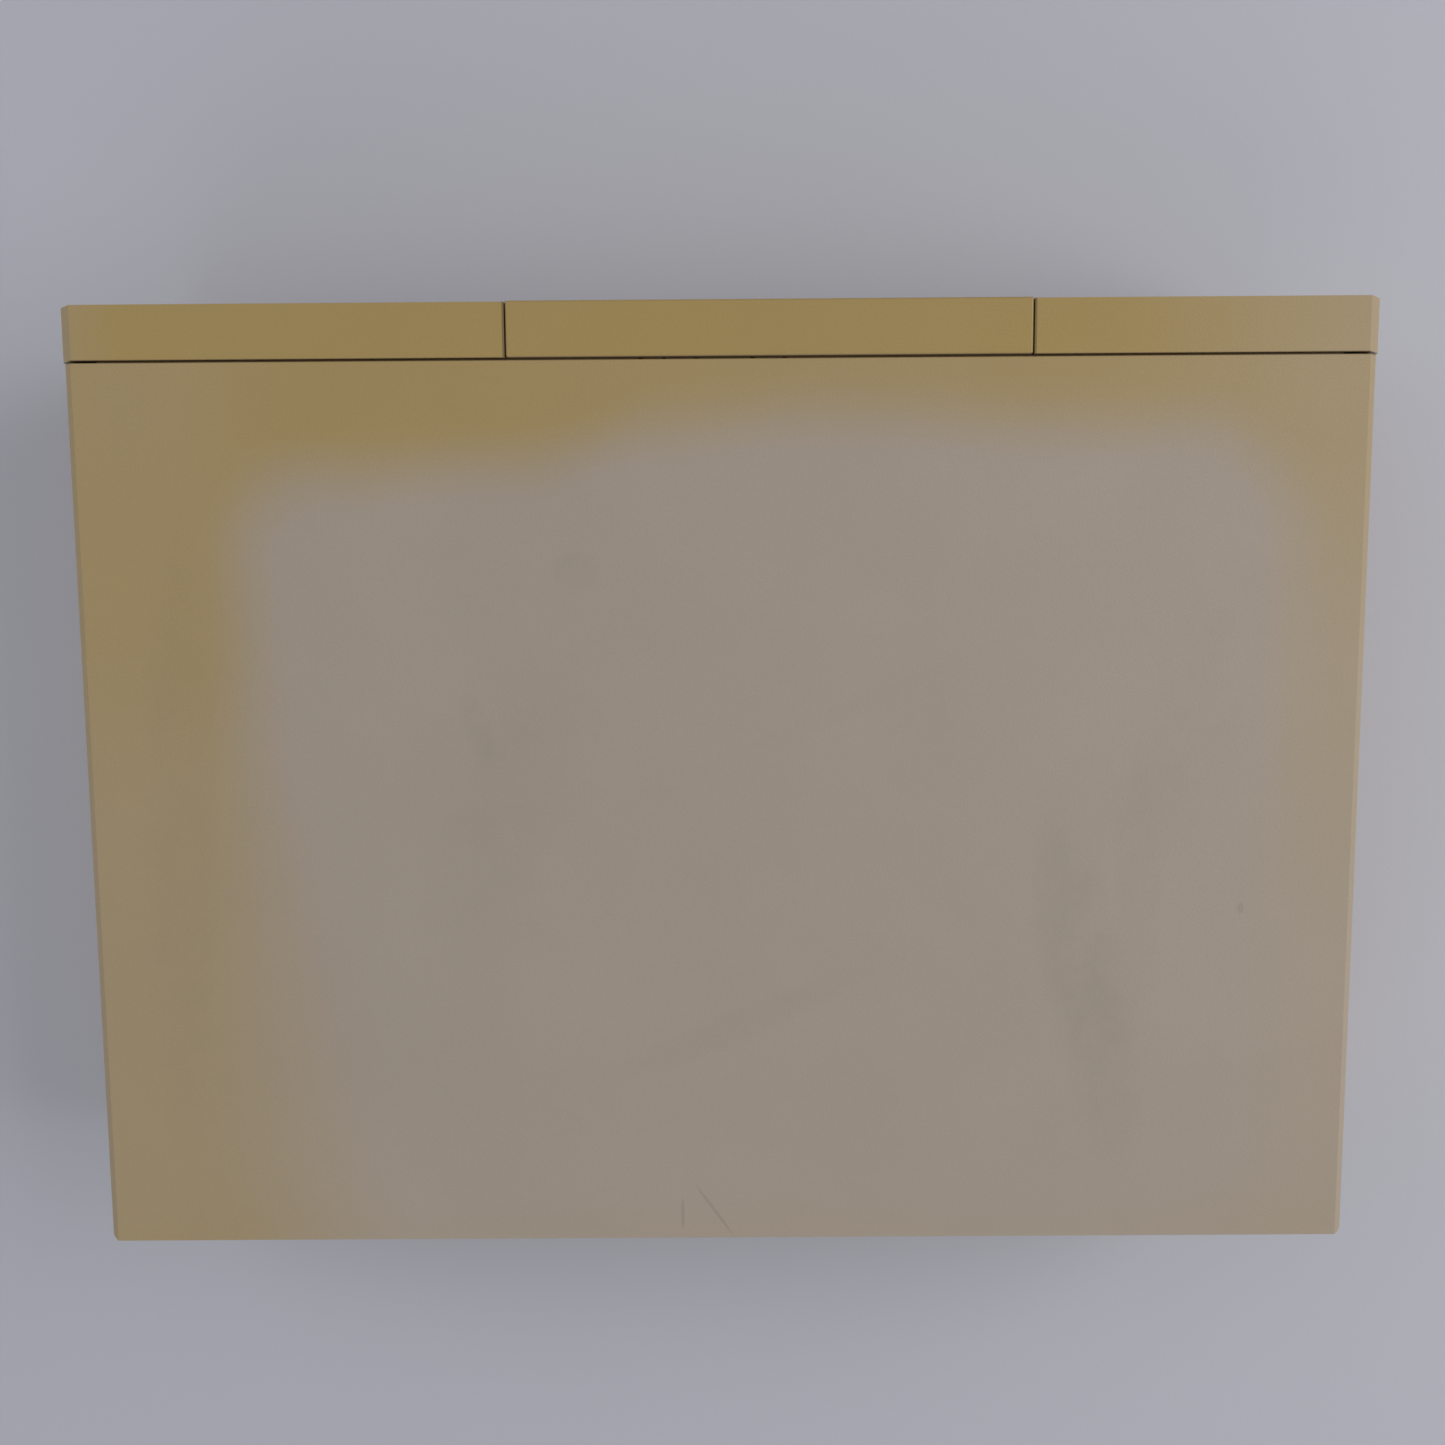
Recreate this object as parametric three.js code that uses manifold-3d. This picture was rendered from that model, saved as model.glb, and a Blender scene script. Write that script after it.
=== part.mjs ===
// A low desktop computer with a separate keyboard: a moulded base on two rails with a bay for the
// keyboard between them, a lift-off top cover, and a front bezel whose centre panel pulls off a
// memory cartridge. Millimetres, +Z up, front facing -Y, origin on the desk under the middle.
import * as THREE from "three";
import { mergeVertices } from "three/addons/utils/BufferGeometryUtils.js";
import Module from "manifold-3d";

const wasm = await Module();
wasm.setup();

// ---------- Driving dimensions ----------
const caseWidth = 450;
const caseDepth = 331;
const caseHeight = 108;
const shellWall = 2.6;
const bevelRun = 5.4; // sideways reach of the slope at the ends of the bezel's top
const bevelDrop = 6.5; // height of that slope
const sideDraft = 2; // how far each side draws in from the shoulder to the desk
const rearCornerRadius = 2.6;
const coverInset = 0.9; // the cover's sides stand in from the bezel's
const coverEdge = 3; // reach, sideways and down, of the small slope along the cover's top edges
const coverTopInset = 2.1; // the cover's sides at that slope, in from the bezel's
const splitHeight = 56; // seam between base and cover
const seamGap = 0.8;

const bezelThickness = 18.45;
const bezelGap = 0.85; // groove between bezel and cover
const panelWidth = 179.2;
const panelCentreX = -16.85;
const panelProud = 0.45; // how far the centre panel stands forward of its neighbours
const panelGap = 0.35; // seam on each side of the centre panel
const ledgeReach = 4; // shelf on the bezel that carries the cover's front edge
const featureGroove = { height: 43, width: 1.6, depth: 1 };

const footHeight = 3;
const footRadius = 8;
const bayHeight = 31; // clear height for the keyboard
const railWidth = 26;
const contactGap = 0.3; // between pieces that touch
const slideGap = 0.4; // around pieces that move or plug in

const boardThickness = 1.6;
const boardStandoff = 4;
const rearRecess = 9; // the port plate stands in from the back
const rearPlate = 1.2;
const portOpeningTop = 90;
const portOpeningMargin = 22;

const powerSupply = { width: 104, length: 215, sheet: 1.2 };
const fan = { size: 50, depth: 15, hub: 11, blades: 7, bladeTip: 22 };
const drive = { width: 101.6, height: 30, length: 146, recess: 5, plate: 5 };
const diskSlot = { width: 94, height: 5, centre: 20 };
const ejectTravel = 4.5;
const cartridge = { width: 110, depth: 74, height: 18 };
const vents = { count: 12, pitch: 7, width: 3, bottom: 64, top: 92 };
const boss = { radius: 5, bore: 2.2, inFromSide: 14, inFromEnd: 15 };
const screw = { shaft: 1.7, head: 3.8, headHeight: 2.4, seat: 12, bite: 10 };

// ---------- Places worked out from them ----------
const halfWidth = caseWidth / 2;
const caseFront = -caseDepth / 2;
const caseBack = caseDepth / 2;
const bezelFront = caseFront + panelProud;
const bezelBack = bezelFront + bezelThickness;
const coverFront = bezelBack + bezelGap;
const shoulder = caseHeight - bevelDrop;
const ceiling = caseHeight - shellWall;
const deckTop = bayHeight + shellWall;
const bayHalfWidth = halfWidth - railWidth;
const panelLeft = panelCentreX - panelWidth / 2;
const panelRight = panelCentreX + panelWidth / 2;
const plateFront = caseBack - rearRecess;
const innerHalf = halfWidth - coverInset - sideDraft - shellWall;
const portHalf = halfWidth - portOpeningMargin;
const boardBottom = deckTop + contactGap + 1 + boardStandoff;
const boardTop = boardBottom + boardThickness;
const supplyLeft = -innerHalf + 24;
const supplyRight = supplyLeft + powerSupply.width;
const supplyBack = plateFront - contactGap;
const supplyFront = supplyBack - powerSupply.length;
const boardLeft = supplyRight + 6;
const boardRight = innerHalf - 14;
const boardFront = coverFront + shellWall + 4;
const boardBack = plateFront - 5;
const driveX = (panelRight + halfWidth) / 2;
const driveY = bezelFront + drive.recess;
const driveZ = boardTop + 15;
const cartridgeBottom = boardTop + 14;
const trayFrontTop = boardTop + 8; // top of the base's front wall
const cartridgeFront = bezelBack + 1;
const slotBottom = diskSlot.centre - diskSlot.height / 2;
const slotTop = diskSlot.centre + diskSlot.height / 2;

// ---------- Finishes ----------
/** A standard material of one colour. */
function finish(colour, roughness, metalness = 0) {
  return new THREE.MeshStandardMaterial({ color: colour, roughness, metalness });
}
const yellowedPlastic = finish(0xbda45e, 0.55);
const beigePlastic = finish(0xbfb096, 0.55);
const darkPlastic = finish(0x2a2927, 0.5);
const blackRubber = finish(0x1d1c1b, 0.85);
const zincSheet = finish(0xa9abac, 0.38, 1);
const brightSteel = finish(0xc4c5c6, 0.28, 1);
const castAlloy = finish(0x8f9193, 0.5, 1);
const circuitBoard = finish(0x2f5b35, 0.45);
const chipPlastic = finish(0x222325, 0.45);
const cablePlastic = finish(0x9b9a95, 0.6);
const redLens = finish(0xa02018, 0.25);
const greenLens = finish(0x3c9a3a, 0.25);

// ---------- Geometry helpers ----------
/** A closed three.js geometry as a manifold-3d solid. */
function solid(geometry) {
  const bare = geometry.index ? geometry.toNonIndexed() : geometry.clone();
  bare.deleteAttribute("normal");
  bare.deleteAttribute("uv");
  const merged = mergeVertices(bare, 1e-4);
  const mesh = new wasm.Mesh({
    numProp: 3,
    vertProperties: merged.attributes.position.array,
    triVerts: new Uint32Array(merged.index.array),
  });
  return new wasm.Manifold(mesh);
}

/** A manifold-3d solid as a three.js geometry. */
function geometryOf(shape) {
  const mesh = shape.getMesh();
  const geometry = new THREE.BufferGeometry();
  geometry.setAttribute("position", new THREE.BufferAttribute(mesh.vertProperties, 3));
  geometry.setIndex(new THREE.BufferAttribute(mesh.triVerts, 1));
  geometry.computeVertexNormals();
  return geometry;
}

/** A box between two limits on each axis. */
function block([x0, x1], [y0, y1], [z0, z1]) {
  const geometry = new THREE.BoxGeometry(x1 - x0, y1 - y0, z1 - z0);
  geometry.translate((x0 + x1) / 2, (y0 + y1) / 2, (z0 + z1) / 2);
  return solid(geometry);
}

const axisBasis = {
  x: [new THREE.Vector3(0, 1, 0), new THREE.Vector3(0, 0, 1), new THREE.Vector3(1, 0, 0)],
  y: [new THREE.Vector3(0, 0, 1), new THREE.Vector3(1, 0, 0), new THREE.Vector3(0, 1, 0)],
  z: [new THREE.Vector3(1, 0, 0), new THREE.Vector3(0, 1, 0), new THREE.Vector3(0, 0, 1)],
};

/** A shape extruded along an axis. Its two coordinates follow the axis in x, y, z, x order. */
function prism(axis, shape, from, to) {
  const geometry = new THREE.ExtrudeGeometry(shape, {
    depth: to - from,
    bevelEnabled: false,
    curveSegments: 6,
  });
  geometry.translate(0, 0, from);
  geometry.applyMatrix4(new THREE.Matrix4().makeBasis(...axisBasis[axis]));
  return solid(geometry);
}

/** A shape through a list of points. */
function outline(points) {
  return new THREE.Shape(points.map(([a, b]) => new THREE.Vector2(a, b)));
}

/** A round bar along an axis: centre gives the two other coordinates, in the order of prism. */
function rod(axis, centre, radius, from, to, sides = 24) {
  const circle = [];
  for (let i = 0; i < sides; i += 1) {
    const angle = (2 * Math.PI * i) / sides;
    circle.push([centre[0] + radius * Math.cos(angle), centre[1] + radius * Math.sin(angle)]);
  }
  return prism(axis, outline(circle), from, to);
}

/** A turned piece about Z from [radius, height] points that start and end on the axis. */
function turned(profile, sides = 24) {
  const points = profile.map(([radius, height]) => new THREE.Vector2(radius, height));
  const geometry = new THREE.LatheGeometry(points, sides);
  geometry.rotateX(Math.PI / 2);
  return solid(geometry);
}

/** Several solids joined. */
function joined(shapes) {
  return shapes.reduce((sum, shape) => sum.add(shape));
}

/** A solid with several others cut from it. */
function cut(shape, cutters) {
  return cutters.reduce((rest, cutter) => rest.subtract(cutter), shape);
}

/** Adds a named mesh to a group, at a place in that group. */
function add(group, name, shape, material, place = [0, 0, 0]) {
  const mesh = new THREE.Mesh(geometryOf(shape), material);
  mesh.name = name;
  mesh.position.set(...place);
  group.add(mesh);
  return mesh;
}

// ---------- Case section and plan ----------
/** Half width of the case at a height below the shoulder. */
function sideAt(z, inset) {
  return halfWidth - inset - (sideDraft * (shoulder - z)) / (shoulder - footHeight);
}

/** The case's cross-section between two heights, drawn in by inset, as a prism along Y. */
function caseSection(inset, bottom, top, front, back) {
  const slope = (bevelRun * (top - shoulder)) / bevelDrop;
  const half = top > shoulder
    ? [[sideAt(bottom, inset), bottom], [halfWidth - inset, shoulder], [halfWidth - inset - slope, top]]
    : [[sideAt(bottom, inset), bottom], [sideAt(top, inset), top]];
  const mirrored = half.map(([x, z]) => [-x, z]).reverse();
  const points = [...half, ...mirrored].map(([x, z]) => [z, x]);
  return prism("y", outline(points), front, back);
}

/** The cover's cross-section between two heights, drawn in by a wall, as a prism along Y. */
function coverSection(wall, bottom, top, front, back) {
  const knee = caseHeight - coverEdge;
  const low = sideAt(splitHeight, coverInset) - wall;
  const high = halfWidth - coverTopInset - wall;
  const at = (z) => low + ((high - low) * (z - splitHeight)) / (knee - splitHeight);
  const half = top > knee
    ? [[at(bottom), bottom], [high, knee], [high - (top - knee), top]]
    : [[at(bottom), bottom], [at(top), top]];
  const mirrored = half.map(([x, z]) => [-x, z]).reverse();
  return prism("y", outline([...half, ...mirrored].map(([x, z]) => [z, x])), front, back);
}

/** The case's plan with rounded rear corners, as a prism along Z. */
function casePlan(half, front, back, radius, bottom, top) {
  const shape = new THREE.Shape();
  shape.moveTo(-half, front);
  shape.lineTo(half, front);
  shape.lineTo(half, back - radius);
  shape.absarc(half - radius, back - radius, radius, 0, Math.PI / 2);
  shape.lineTo(-half + radius, back);
  shape.absarc(-half + radius, back - radius, radius, Math.PI / 2, Math.PI);
  shape.closePath();
  return prism("z", shape, bottom, top);
}

/** The four places of the screw bosses. */
function bossPlaces() {
  const x = halfWidth - boss.inFromSide;
  const ends = { front: coverFront + boss.inFromEnd, rear: caseBack - boss.inFromEnd };
  const places = [];
  for (const [end, y] of Object.entries(ends)) {
    places.push({ name: `${end}_left`, x: -x, y }, { name: `${end}_right`, x, y });
  }
  return places;
}

/** The frame that lines the rear port opening, between two heights. */
function portLining(bottom, top) {
  const outer = [-portHalf - shellWall, portHalf + shellWall];
  return block(outer, [plateFront + rearPlate + contactGap, caseBack - 1], [bottom, top]);
}

// ---------- Shells ----------
/** Lower shell: deck over the keyboard bay, two hollow rails, side walls and rear skirt. */
function baseTray() {
  const top = splitHeight - seamGap / 2;
  const inner = coverInset + shellWall;
  const shell = caseSection(coverInset, footHeight, top, coverFront, caseBack)
    .intersect(casePlan(halfWidth, coverFront, caseBack, rearCornerRadius, 0, caseHeight));
  const bay = block([-bayHalfWidth, bayHalfWidth], [coverFront - 1, caseBack - shellWall], [0, bayHeight]);
  const room = caseSection(inner, deckTop, caseHeight, coverFront + shellWall, caseBack - shellWall);
  const channels = [-1, 1].map((side) => {
    const near = bayHalfWidth + shellWall;
    const far = sideAt(footHeight, inner);
    const span = side > 0 ? [near, far] : [-far, -near];
    return block(span, [coverFront + shellWall, caseBack - shellWall], [footHeight + shellWall, deckTop + 1]);
  });
  const frontNotch = block([-innerHalf, innerHalf], [coverFront - 1, coverFront + shellWall + 1],
    [trayFrontTop, top + 1]);
  const lining = portLining(bayHeight, top);
  const portNotch = block([-portHalf, portHalf], [plateFront - 1, caseBack + 1], [deckTop, top + 1]);
  const bosses = bossPlaces().map(({ x, y }) => rod("z", [x, y], boss.radius, footHeight, top));
  const bores = bossPlaces().flatMap(({ x, y }) => [
    rod("z", [x, y], boss.bore, 0, caseHeight, 16),
    rod("z", [x, y], screw.head + slideGap, 0, screw.seat, 16),
  ]);
  let tray = joined([cut(shell, [bay, room, ...channels]), lining, ...bosses]);
  tray = cut(tray, [frontNotch, portNotch, ...bores, ...sideOpenings()]);
  return tray;
}

const switchHole = { y: coverFront + 46, length: 21, bottom: 38, top: 51 };
const controllerPort = { length: 31, height: 12.5, centre: boardTop + 6.6, pitch: 42 };
const controllerPorts = [
  { name: "front", y: coverFront + controllerPort.pitch },
  { name: "rear", y: coverFront + 2 * controllerPort.pitch },
];
const expansion = { length: 92, height: 11, lip: 4, pocket: 1.7, centre: boardTop + 4 };
expansion.y = controllerPorts[1].y + controllerPort.length / 2 + 30.25 + expansion.length / 2;

/** Openings through the base's side walls for the power switch, controller ports and expansion slot. */
function sideOpenings() {
  const outside = halfWidth + 1;
  const inside = innerHalf - 1;
  const power = block([-outside, -inside],
    [switchHole.y - switchHole.length / 2, switchHole.y + switchHole.length / 2],
    [switchHole.bottom, switchHole.top]);
  const controllers = controllerPorts.map(({ y }) => {
    const half = controllerPort.length / 2 + slideGap;
    const tall = controllerPort.height / 2 + slideGap;
    return block([inside, outside], [y - half, y + half],
      [controllerPort.centre - tall, controllerPort.centre + tall]);
  });
  const slot = block([inside, outside],
    [expansion.y - expansion.length / 2, expansion.y + expansion.length / 2],
    [expansion.centre - expansion.height / 2, expansion.centre + expansion.height / 2]);
  const grow = expansion.lip + slideGap;
  const pocket = block([sideAt(expansion.centre, coverInset) - expansion.pocket, outside],
    [expansion.y - expansion.length / 2 - grow, expansion.y + expansion.length / 2 + grow],
    [expansion.centre - expansion.height / 2 - grow / 2, expansion.centre + expansion.height / 2 + grow / 2]);
  return [power, ...controllers, slot, pocket];
}

/** Top cover: roof with small slopes at its edges, drafted sides with vents, and a rear wall over the ports. */
function topCover() {
  const bottom = splitHeight + seamGap / 2;
  const plan = casePlan(halfWidth - coverTopInset + 0.3, coverFront, caseBack, rearCornerRadius, 0, caseHeight + 1);
  const shell = coverSection(0, bottom, caseHeight, coverFront, caseBack).intersect(plan);
  const room = coverSection(shellWall, bottom - 1, ceiling, coverFront - 1, caseBack - shellWall);
  const lining = portLining(bottom, portOpeningTop + shellWall);
  const portNotch = block([-portHalf, portHalf], [plateFront - 1, caseBack + 1], [bottom - 1, portOpeningTop]);
  const bosses = bossPlaces().map(({ x, y }) => rod("z", [x, y], boss.radius, bottom, ceiling + 1));
  const pilots = bossPlaces().map(({ x, y }) => {
    return rod("z", [x, y], screw.shaft + contactGap, bottom - 1, splitHeight + screw.bite + 2, 16);
  });
  const slots = [];
  for (let i = 0; i < vents.count; i += 1) {
    const y = caseBack - 40 - i * vents.pitch;
    for (const side of [-1, 1]) {
      const span = side > 0 ? [innerHalf - 2, halfWidth + 1] : [-halfWidth - 1, -innerHalf + 2];
      slots.push(block(span, [y - vents.width / 2, y + vents.width / 2], [vents.bottom, vents.top]));
    }
  }
  const hollow = joined([shell.subtract(room), lining, ...bosses]);
  return cut(hollow, [portNotch, ...pilots, ...slots]);
}

/** The window in the bezel that frames the disk drive's faceplate. */
const driveWindow = {
  x: [driveX - drive.width / 2 - slideGap, driveX + drive.width / 2 + slideGap],
  z: [driveZ - slideGap, driveZ + drive.height + slideGap],
};
const cartridgeWindow = {
  x: [panelCentreX - cartridge.width / 2 - 2, panelCentreX + cartridge.width / 2 + 2],
  z: [cartridgeBottom - 2, cartridgeBottom + cartridge.height + 2],
};
const powerLight = { x: -halfWidth + 32, z: driveZ + 4, width: 8, height: 3 };
const panelTongue = { width: 8, height: 3, reach: 5 };
const seamHoles = [-22.1, -11.2, 8, 19, 27]; // small clip holes along the shelf behind the panel

/** Places of the centre panel's four tongues, as [x, z]. */
function tonguePlaces() {
  const x = panelWidth / 2 - 14;
  const low = trayFrontTop + 4;
  const high = ceiling - 12;
  return [low, high].flatMap((z) => [[panelCentreX - x, z], [panelCentreX + x, z]]);
}

/** One of the centre panel's tongues, or the hole for it when grown by a gap. */
function tongue([x, z], grow, from) {
  const half = panelTongue.width / 2 + grow;
  const tall = panelTongue.height / 2 + grow;
  return block([x - half, x + half], [from, bezelBack + panelTongue.reach], [z - tall, z + tall]);
}

/** Front bezel: both front sections and the wall that joins them behind the centre panel. */
function frontBezel() {
  const shell = caseSection(0, footHeight, caseHeight, bezelFront, bezelBack);
  const bay = block([-bayHalfWidth, bayHalfWidth], [bezelFront - 1, bezelBack + 1], [0, bayHeight]);
  const recess = block([panelLeft, panelRight], [bezelFront - 1, bezelBack - shellWall],
    [bayHeight - 1, caseHeight + 1]);
  const behindSkin = block([panelLeft, panelRight], [bezelBack - shellWall - 1, bezelBack + 1],
    [ceiling - slideGap, caseHeight + 1]);
  const skinBack = [bezelFront + shellWall, bezelBack + 1];
  const inner = caseSection(shellWall, footHeight + shellWall, ceiling, ...skinBack);
  const side = (span) => block(span, skinBack, [0, caseHeight]);
  const belowDeck = block([-bayHalfWidth - shellWall, bayHalfWidth + shellWall], skinBack, [0, deckTop]);
  const leftRoom = inner.intersect(side([-halfWidth, panelLeft - shellWall])).subtract(belowDeck);
  const rightRoom = inner.intersect(side([panelRight + shellWall, halfWidth])).subtract(belowDeck);
  const well = block([driveWindow.x[0] - 1.8, driveWindow.x[1] + 1.8],
    [bezelFront + 1, driveY + drive.plate], [driveWindow.z[0] - 1.8, driveWindow.z[1] + 1.8]);
  const ledgeHalf = halfWidth - bevelRun - shellWall - coverInset - 4;
  const ledge = block([-ledgeHalf, ledgeHalf], [bezelBack - shellWall, bezelBack + ledgeReach],
    [ceiling - slideGap - 2, ceiling - slideGap]);
  const window = block(driveWindow.x, [bezelFront - 1, bezelBack + 1], driveWindow.z);
  const cartridgeHole = block(cartridgeWindow.x, [bezelBack - shellWall - 1, bezelBack + 1],
    cartridgeWindow.z);
  const lightHole = block([powerLight.x - powerLight.width / 2, powerLight.x + powerLight.width / 2],
    [bezelFront - 1, bezelFront + shellWall + 1],
    [powerLight.z - powerLight.height / 2, powerLight.z + powerLight.height / 2]);
  const groove = block([-halfWidth - 1, halfWidth + 1], [bezelFront - 1, bezelFront + featureGroove.depth],
    [featureGroove.height, featureGroove.height + featureGroove.width]);
  const clipHoles = seamHoles.map((x) => {
    return block([x - 0.8, x + 0.8], [bezelBack + 0.1, bezelBack + 1.8], [ceiling - 4, ceiling + 1]);
  });
  const tongueHoles = tonguePlaces().map((place) => tongue(place, slideGap, bezelBack - shellWall - 1));
  const frame = joined([cut(shell, [bay, recess, behindSkin, leftRoom, rightRoom]), well, ledge]);
  return cut(frame, [window, cartridgeHole, lightHole, groove, ...clipHoles, ...tongueHoles]);
}

/** Pull-off centre panel: a shallow cap with four tongues at the back. */
function centrePanel() {
  const span = [panelLeft + panelGap, panelRight - panelGap];
  const inside = [span[0] + shellWall, span[1] - shellWall];
  const wallBack = bezelBack - shellWall - slideGap;
  const cap = block(span, [caseFront, wallBack], [bayHeight, caseHeight]);
  const skin = block(span, [wallBack - 1, bezelBack], [ceiling, caseHeight]);
  const room = block(inside, [caseFront + shellWall, wallBack + 1], [deckTop, ceiling]);
  const groove = block([panelLeft, panelRight], [caseFront - 1, caseFront + featureGroove.depth],
    [featureGroove.height, featureGroove.height + featureGroove.width]);
  const tongues = tonguePlaces().map((place) => tongue(place, 0, caseFront + shellWall - 0.5));
  return joined([cut(cap.add(skin), [room, groove]), ...tongues]);
}

/** Snap-on cover of the expansion slot, with two tongues. */
function expansionCover() {
  const outer = sideAt(expansion.centre, coverInset) - 0.1;
  const inner = outer - expansion.pocket + contactGap + 0.1;
  const y = [expansion.y - expansion.length / 2 - expansion.lip, expansion.y + expansion.length / 2 + expansion.lip];
  const z = [expansion.centre - expansion.height / 2 - expansion.lip / 2,
    expansion.centre + expansion.height / 2 + expansion.lip / 2];
  const tongues = [-1, 1].map((end) => {
    const middle = expansion.y + end * (expansion.length / 2 - 6);
    return block([inner - 5, inner + 0.5], [middle - 3, middle + 3],
      [expansion.centre + expansion.height / 2 - 3, expansion.centre + expansion.height / 2 - slideGap]);
  });
  return joined([block([inner, outer], y, z), ...tongues]);
}

// ---------- Case hardware ----------
/** A round rubber foot with a softened edge, standing on the desk. */
function rubberFoot() {
  const top = footHeight - contactGap;
  return turned([[0, 0], [footRadius - 0.8, 0], [footRadius, 0.8], [footRadius, top], [0, top]]);
}

/** A long case screw, head down, standing on its head. */
function caseScrew() {
  const neck = screw.headHeight;
  const tip = splitHeight + screw.bite - screw.seat + neck;
  const shape = turned([[0, 0], [screw.head - 0.6, 0], [screw.head, 0.8], [screw.head, neck],
    [screw.shaft, neck], [screw.shaft, tip - 2], [0, tip]], 16);
  const slot = block([-2.6, 2.6], [-0.5, 0.5], [-1, 1]);
  return cut(shape, [slot, slot.rotate([0, 0, 90])]);
}

// ---------- Rear plate and ports ----------
const portKinds = {
  parallel_port: { width: 53, nose: 39, height: 9 },
  disk_port: { width: 50, nose: 36, height: 9 },
  serial_port: { width: 53, nose: 39, height: 9 },
  monitor_port: { width: 50, nose: 36, height: 9 },
};
const portRow = ["keyboard_jack", "parallel_port", "disk_port", "serial_port", "audio_jacks",
  "video_jack", "monitor_port"];
const portWidth = { keyboard_jack: 15, audio_jacks: 14, video_jack: 19 };
const portHole = {
  keyboard_jack: { half: 7, low: -7, high: 7 },
  audio_jacks: { half: 4.7, low: -5, high: 19 },
  video_jack: { half: 8, low: -7, high: 9 },
};
const portCentreZ = boardTop + 7;
const fanPlace = { x: supplyLeft + fan.size / 2 + 4, z: deckTop + fan.size / 2 + 4 };
const inletSize = { width: 27, height: 20 };
const inletPlace = { x: supplyRight - inletSize.width / 2 - 8, z: deckTop + 22 };

/** The ports along the board's rear edge, spread evenly over the width that is free. */
function portPlaces() {
  const widths = portRow.map((name) => portKinds[name]?.width ?? portWidth[name]);
  const free = boardRight - boardLeft - widths.reduce((sum, width) => sum + width);
  const gap = free / (widths.length + 1);
  let x = boardRight;
  return portRow.map((name, i) => {
    x -= gap + widths[i];
    return { name, x: x + widths[i] / 2 };
  });
}

/** A D-shaped outline, wider at its top, with its corners cut. */
function dOutline(width, height) {
  const half = width / 2;
  const tall = height / 2;
  const slant = height * 0.18;
  const points = [[half, tall - 1], [half - 1, tall], [-half + 1, tall], [-half, tall - 1],
    [-half + slant, -tall + 1], [-half + slant + 1.5, -tall], [half - slant - 1.5, -tall],
    [half - slant, -tall + 1]];
  return points.map(([x, z]) => [z, x]);
}

/** A socket with a D-shaped nose, its plate plane at y = 0 and its nose towards +Y. */
function dSocket({ width, nose, height }) {
  const body = block([-width / 2 + 1, width / 2 - 1], [-13, -1.5], [-portCentreZ + boardTop + contactGap, 5.5]);
  const flange = block([-width / 2 + 1, width / 2 - 1], [-1.6, -0.3], [-6, 6]);
  const front = prism("y", outline(dOutline(nose, height)), -0.4, rearPlate + 5.6);
  const well = prism("y", outline(dOutline(nose - 1.4, height - 1.4)), rearPlate + 4.9, rearPlate + 7);
  const nuts = [-1, 1].map((side) => rod("y", [0, side * (nose / 2 + 4.4)], 2.4, -0.4, rearPlate + 4.4, 6));
  return cut(joined([body, flange, front, ...nuts]), [well]);
}

/** The small modular jack for the keyboard. */
function keyboardJack() {
  const body = block([-6.5, 6.5], [-14, rearPlate + 1], [-6.5, 6.5]);
  return cut(body, [block([-4.6, 4.6], [-8, rearPlate + 2], [-3.6, 2.6]),
    block([-1.8, 1.8], [-8, rearPlate + 2], [2, 4.6])]);
}

/** Two round audio jacks, one above the other, on one housing. */
function audioJacks() {
  const housing = block([-5.5, 5.5], [-13, -0.3], [-6.5, 20]);
  const barrels = [0, 14].map((z) => rod("y", [z, 0], 4.1, -0.4, rearPlate + 7.4, 20));
  const holes = [0, 14].map((z) => rod("y", [z, 0], 1.8, rearPlate + 1, rearPlate + 9, 12));
  return cut(joined([housing, ...barrels]), holes);
}

/** The round video jack. */
function videoJack() {
  const housing = block([-8.5, 8.5], [-13, -0.3], [-6.5, 9]);
  const barrel = rod("y", [1, 0], 7.6, -0.4, rearPlate + 2.5);
  const well = cut(rod("y", [1, 0], 6.6, rearPlate - 0.5, rearPlate + 3), [rod("y", [1, 0], 5.6, -1, 9)]);
  return cut(housing.add(barrel), [well]);
}

/** Sheet-metal rear plate with a hole for each port, the mains inlet and the fan's louvres. */
function rearPanel() {
  const y = [plateFront, plateFront + rearPlate];
  const sheet = block([-portHalf - shellWall / 2, portHalf + shellWall / 2], y,
    [deckTop + contactGap, portOpeningTop + shellWall / 2]);
  const through = [y[0] - 1, y[1] + 1];
  const holes = portPlaces().map(({ name, x }) => {
    const { half, low, high } = portHole[name] ?? { half: portKinds[name].nose / 2 + 7.2, low: -5, high: 5 };
    return block([x - half, x + half], through, [portCentreZ + low, portCentreZ + high]);
  });
  const louvres = [];
  for (let i = -4; i <= 4; i += 1) {
    const z = fanPlace.z + i * 5;
    const half = Math.sqrt(23 * 23 - i * i * 25);
    louvres.push(block([fanPlace.x - half, fanPlace.x + half], through, [z - 1.6, z + 1.6]));
  }
  const inlet = block([inletPlace.x - inletSize.width / 2 - slideGap, inletPlace.x + inletSize.width / 2 + slideGap],
    through, [inletPlace.z - inletSize.height / 2 - slideGap, inletPlace.z + inletSize.height / 2 + slideGap]);
  return cut(sheet, [...holes, ...louvres, inlet]);
}

/** Mains inlet: a shrouded socket with three blades, its plate plane at y = 0. */
function mainsInlet() {
  const { width, height } = inletSize;
  const body = block([-width / 2, width / 2], [-20, rearPlate + 2], [-height / 2, height / 2]);
  const corner = 5;
  const points = [[12, 8], [12, -8 + corner], [12 - corner, -8], [-12 + corner, -8], [-12, -8 + corner],
    [-12, 8]];
  const well = prism("y", outline(points.map(([x, z]) => [z, x])), -14, rearPlate + 3);
  const blades = [[-7, -1], [0, 3], [7, -1]].map(([x, z]) => {
    return block([x - 1, x + 1], [-15, -4], [z - 2, z + 2]);
  });
  return joined([cut(body, [well]), ...blades]);
}

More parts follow.
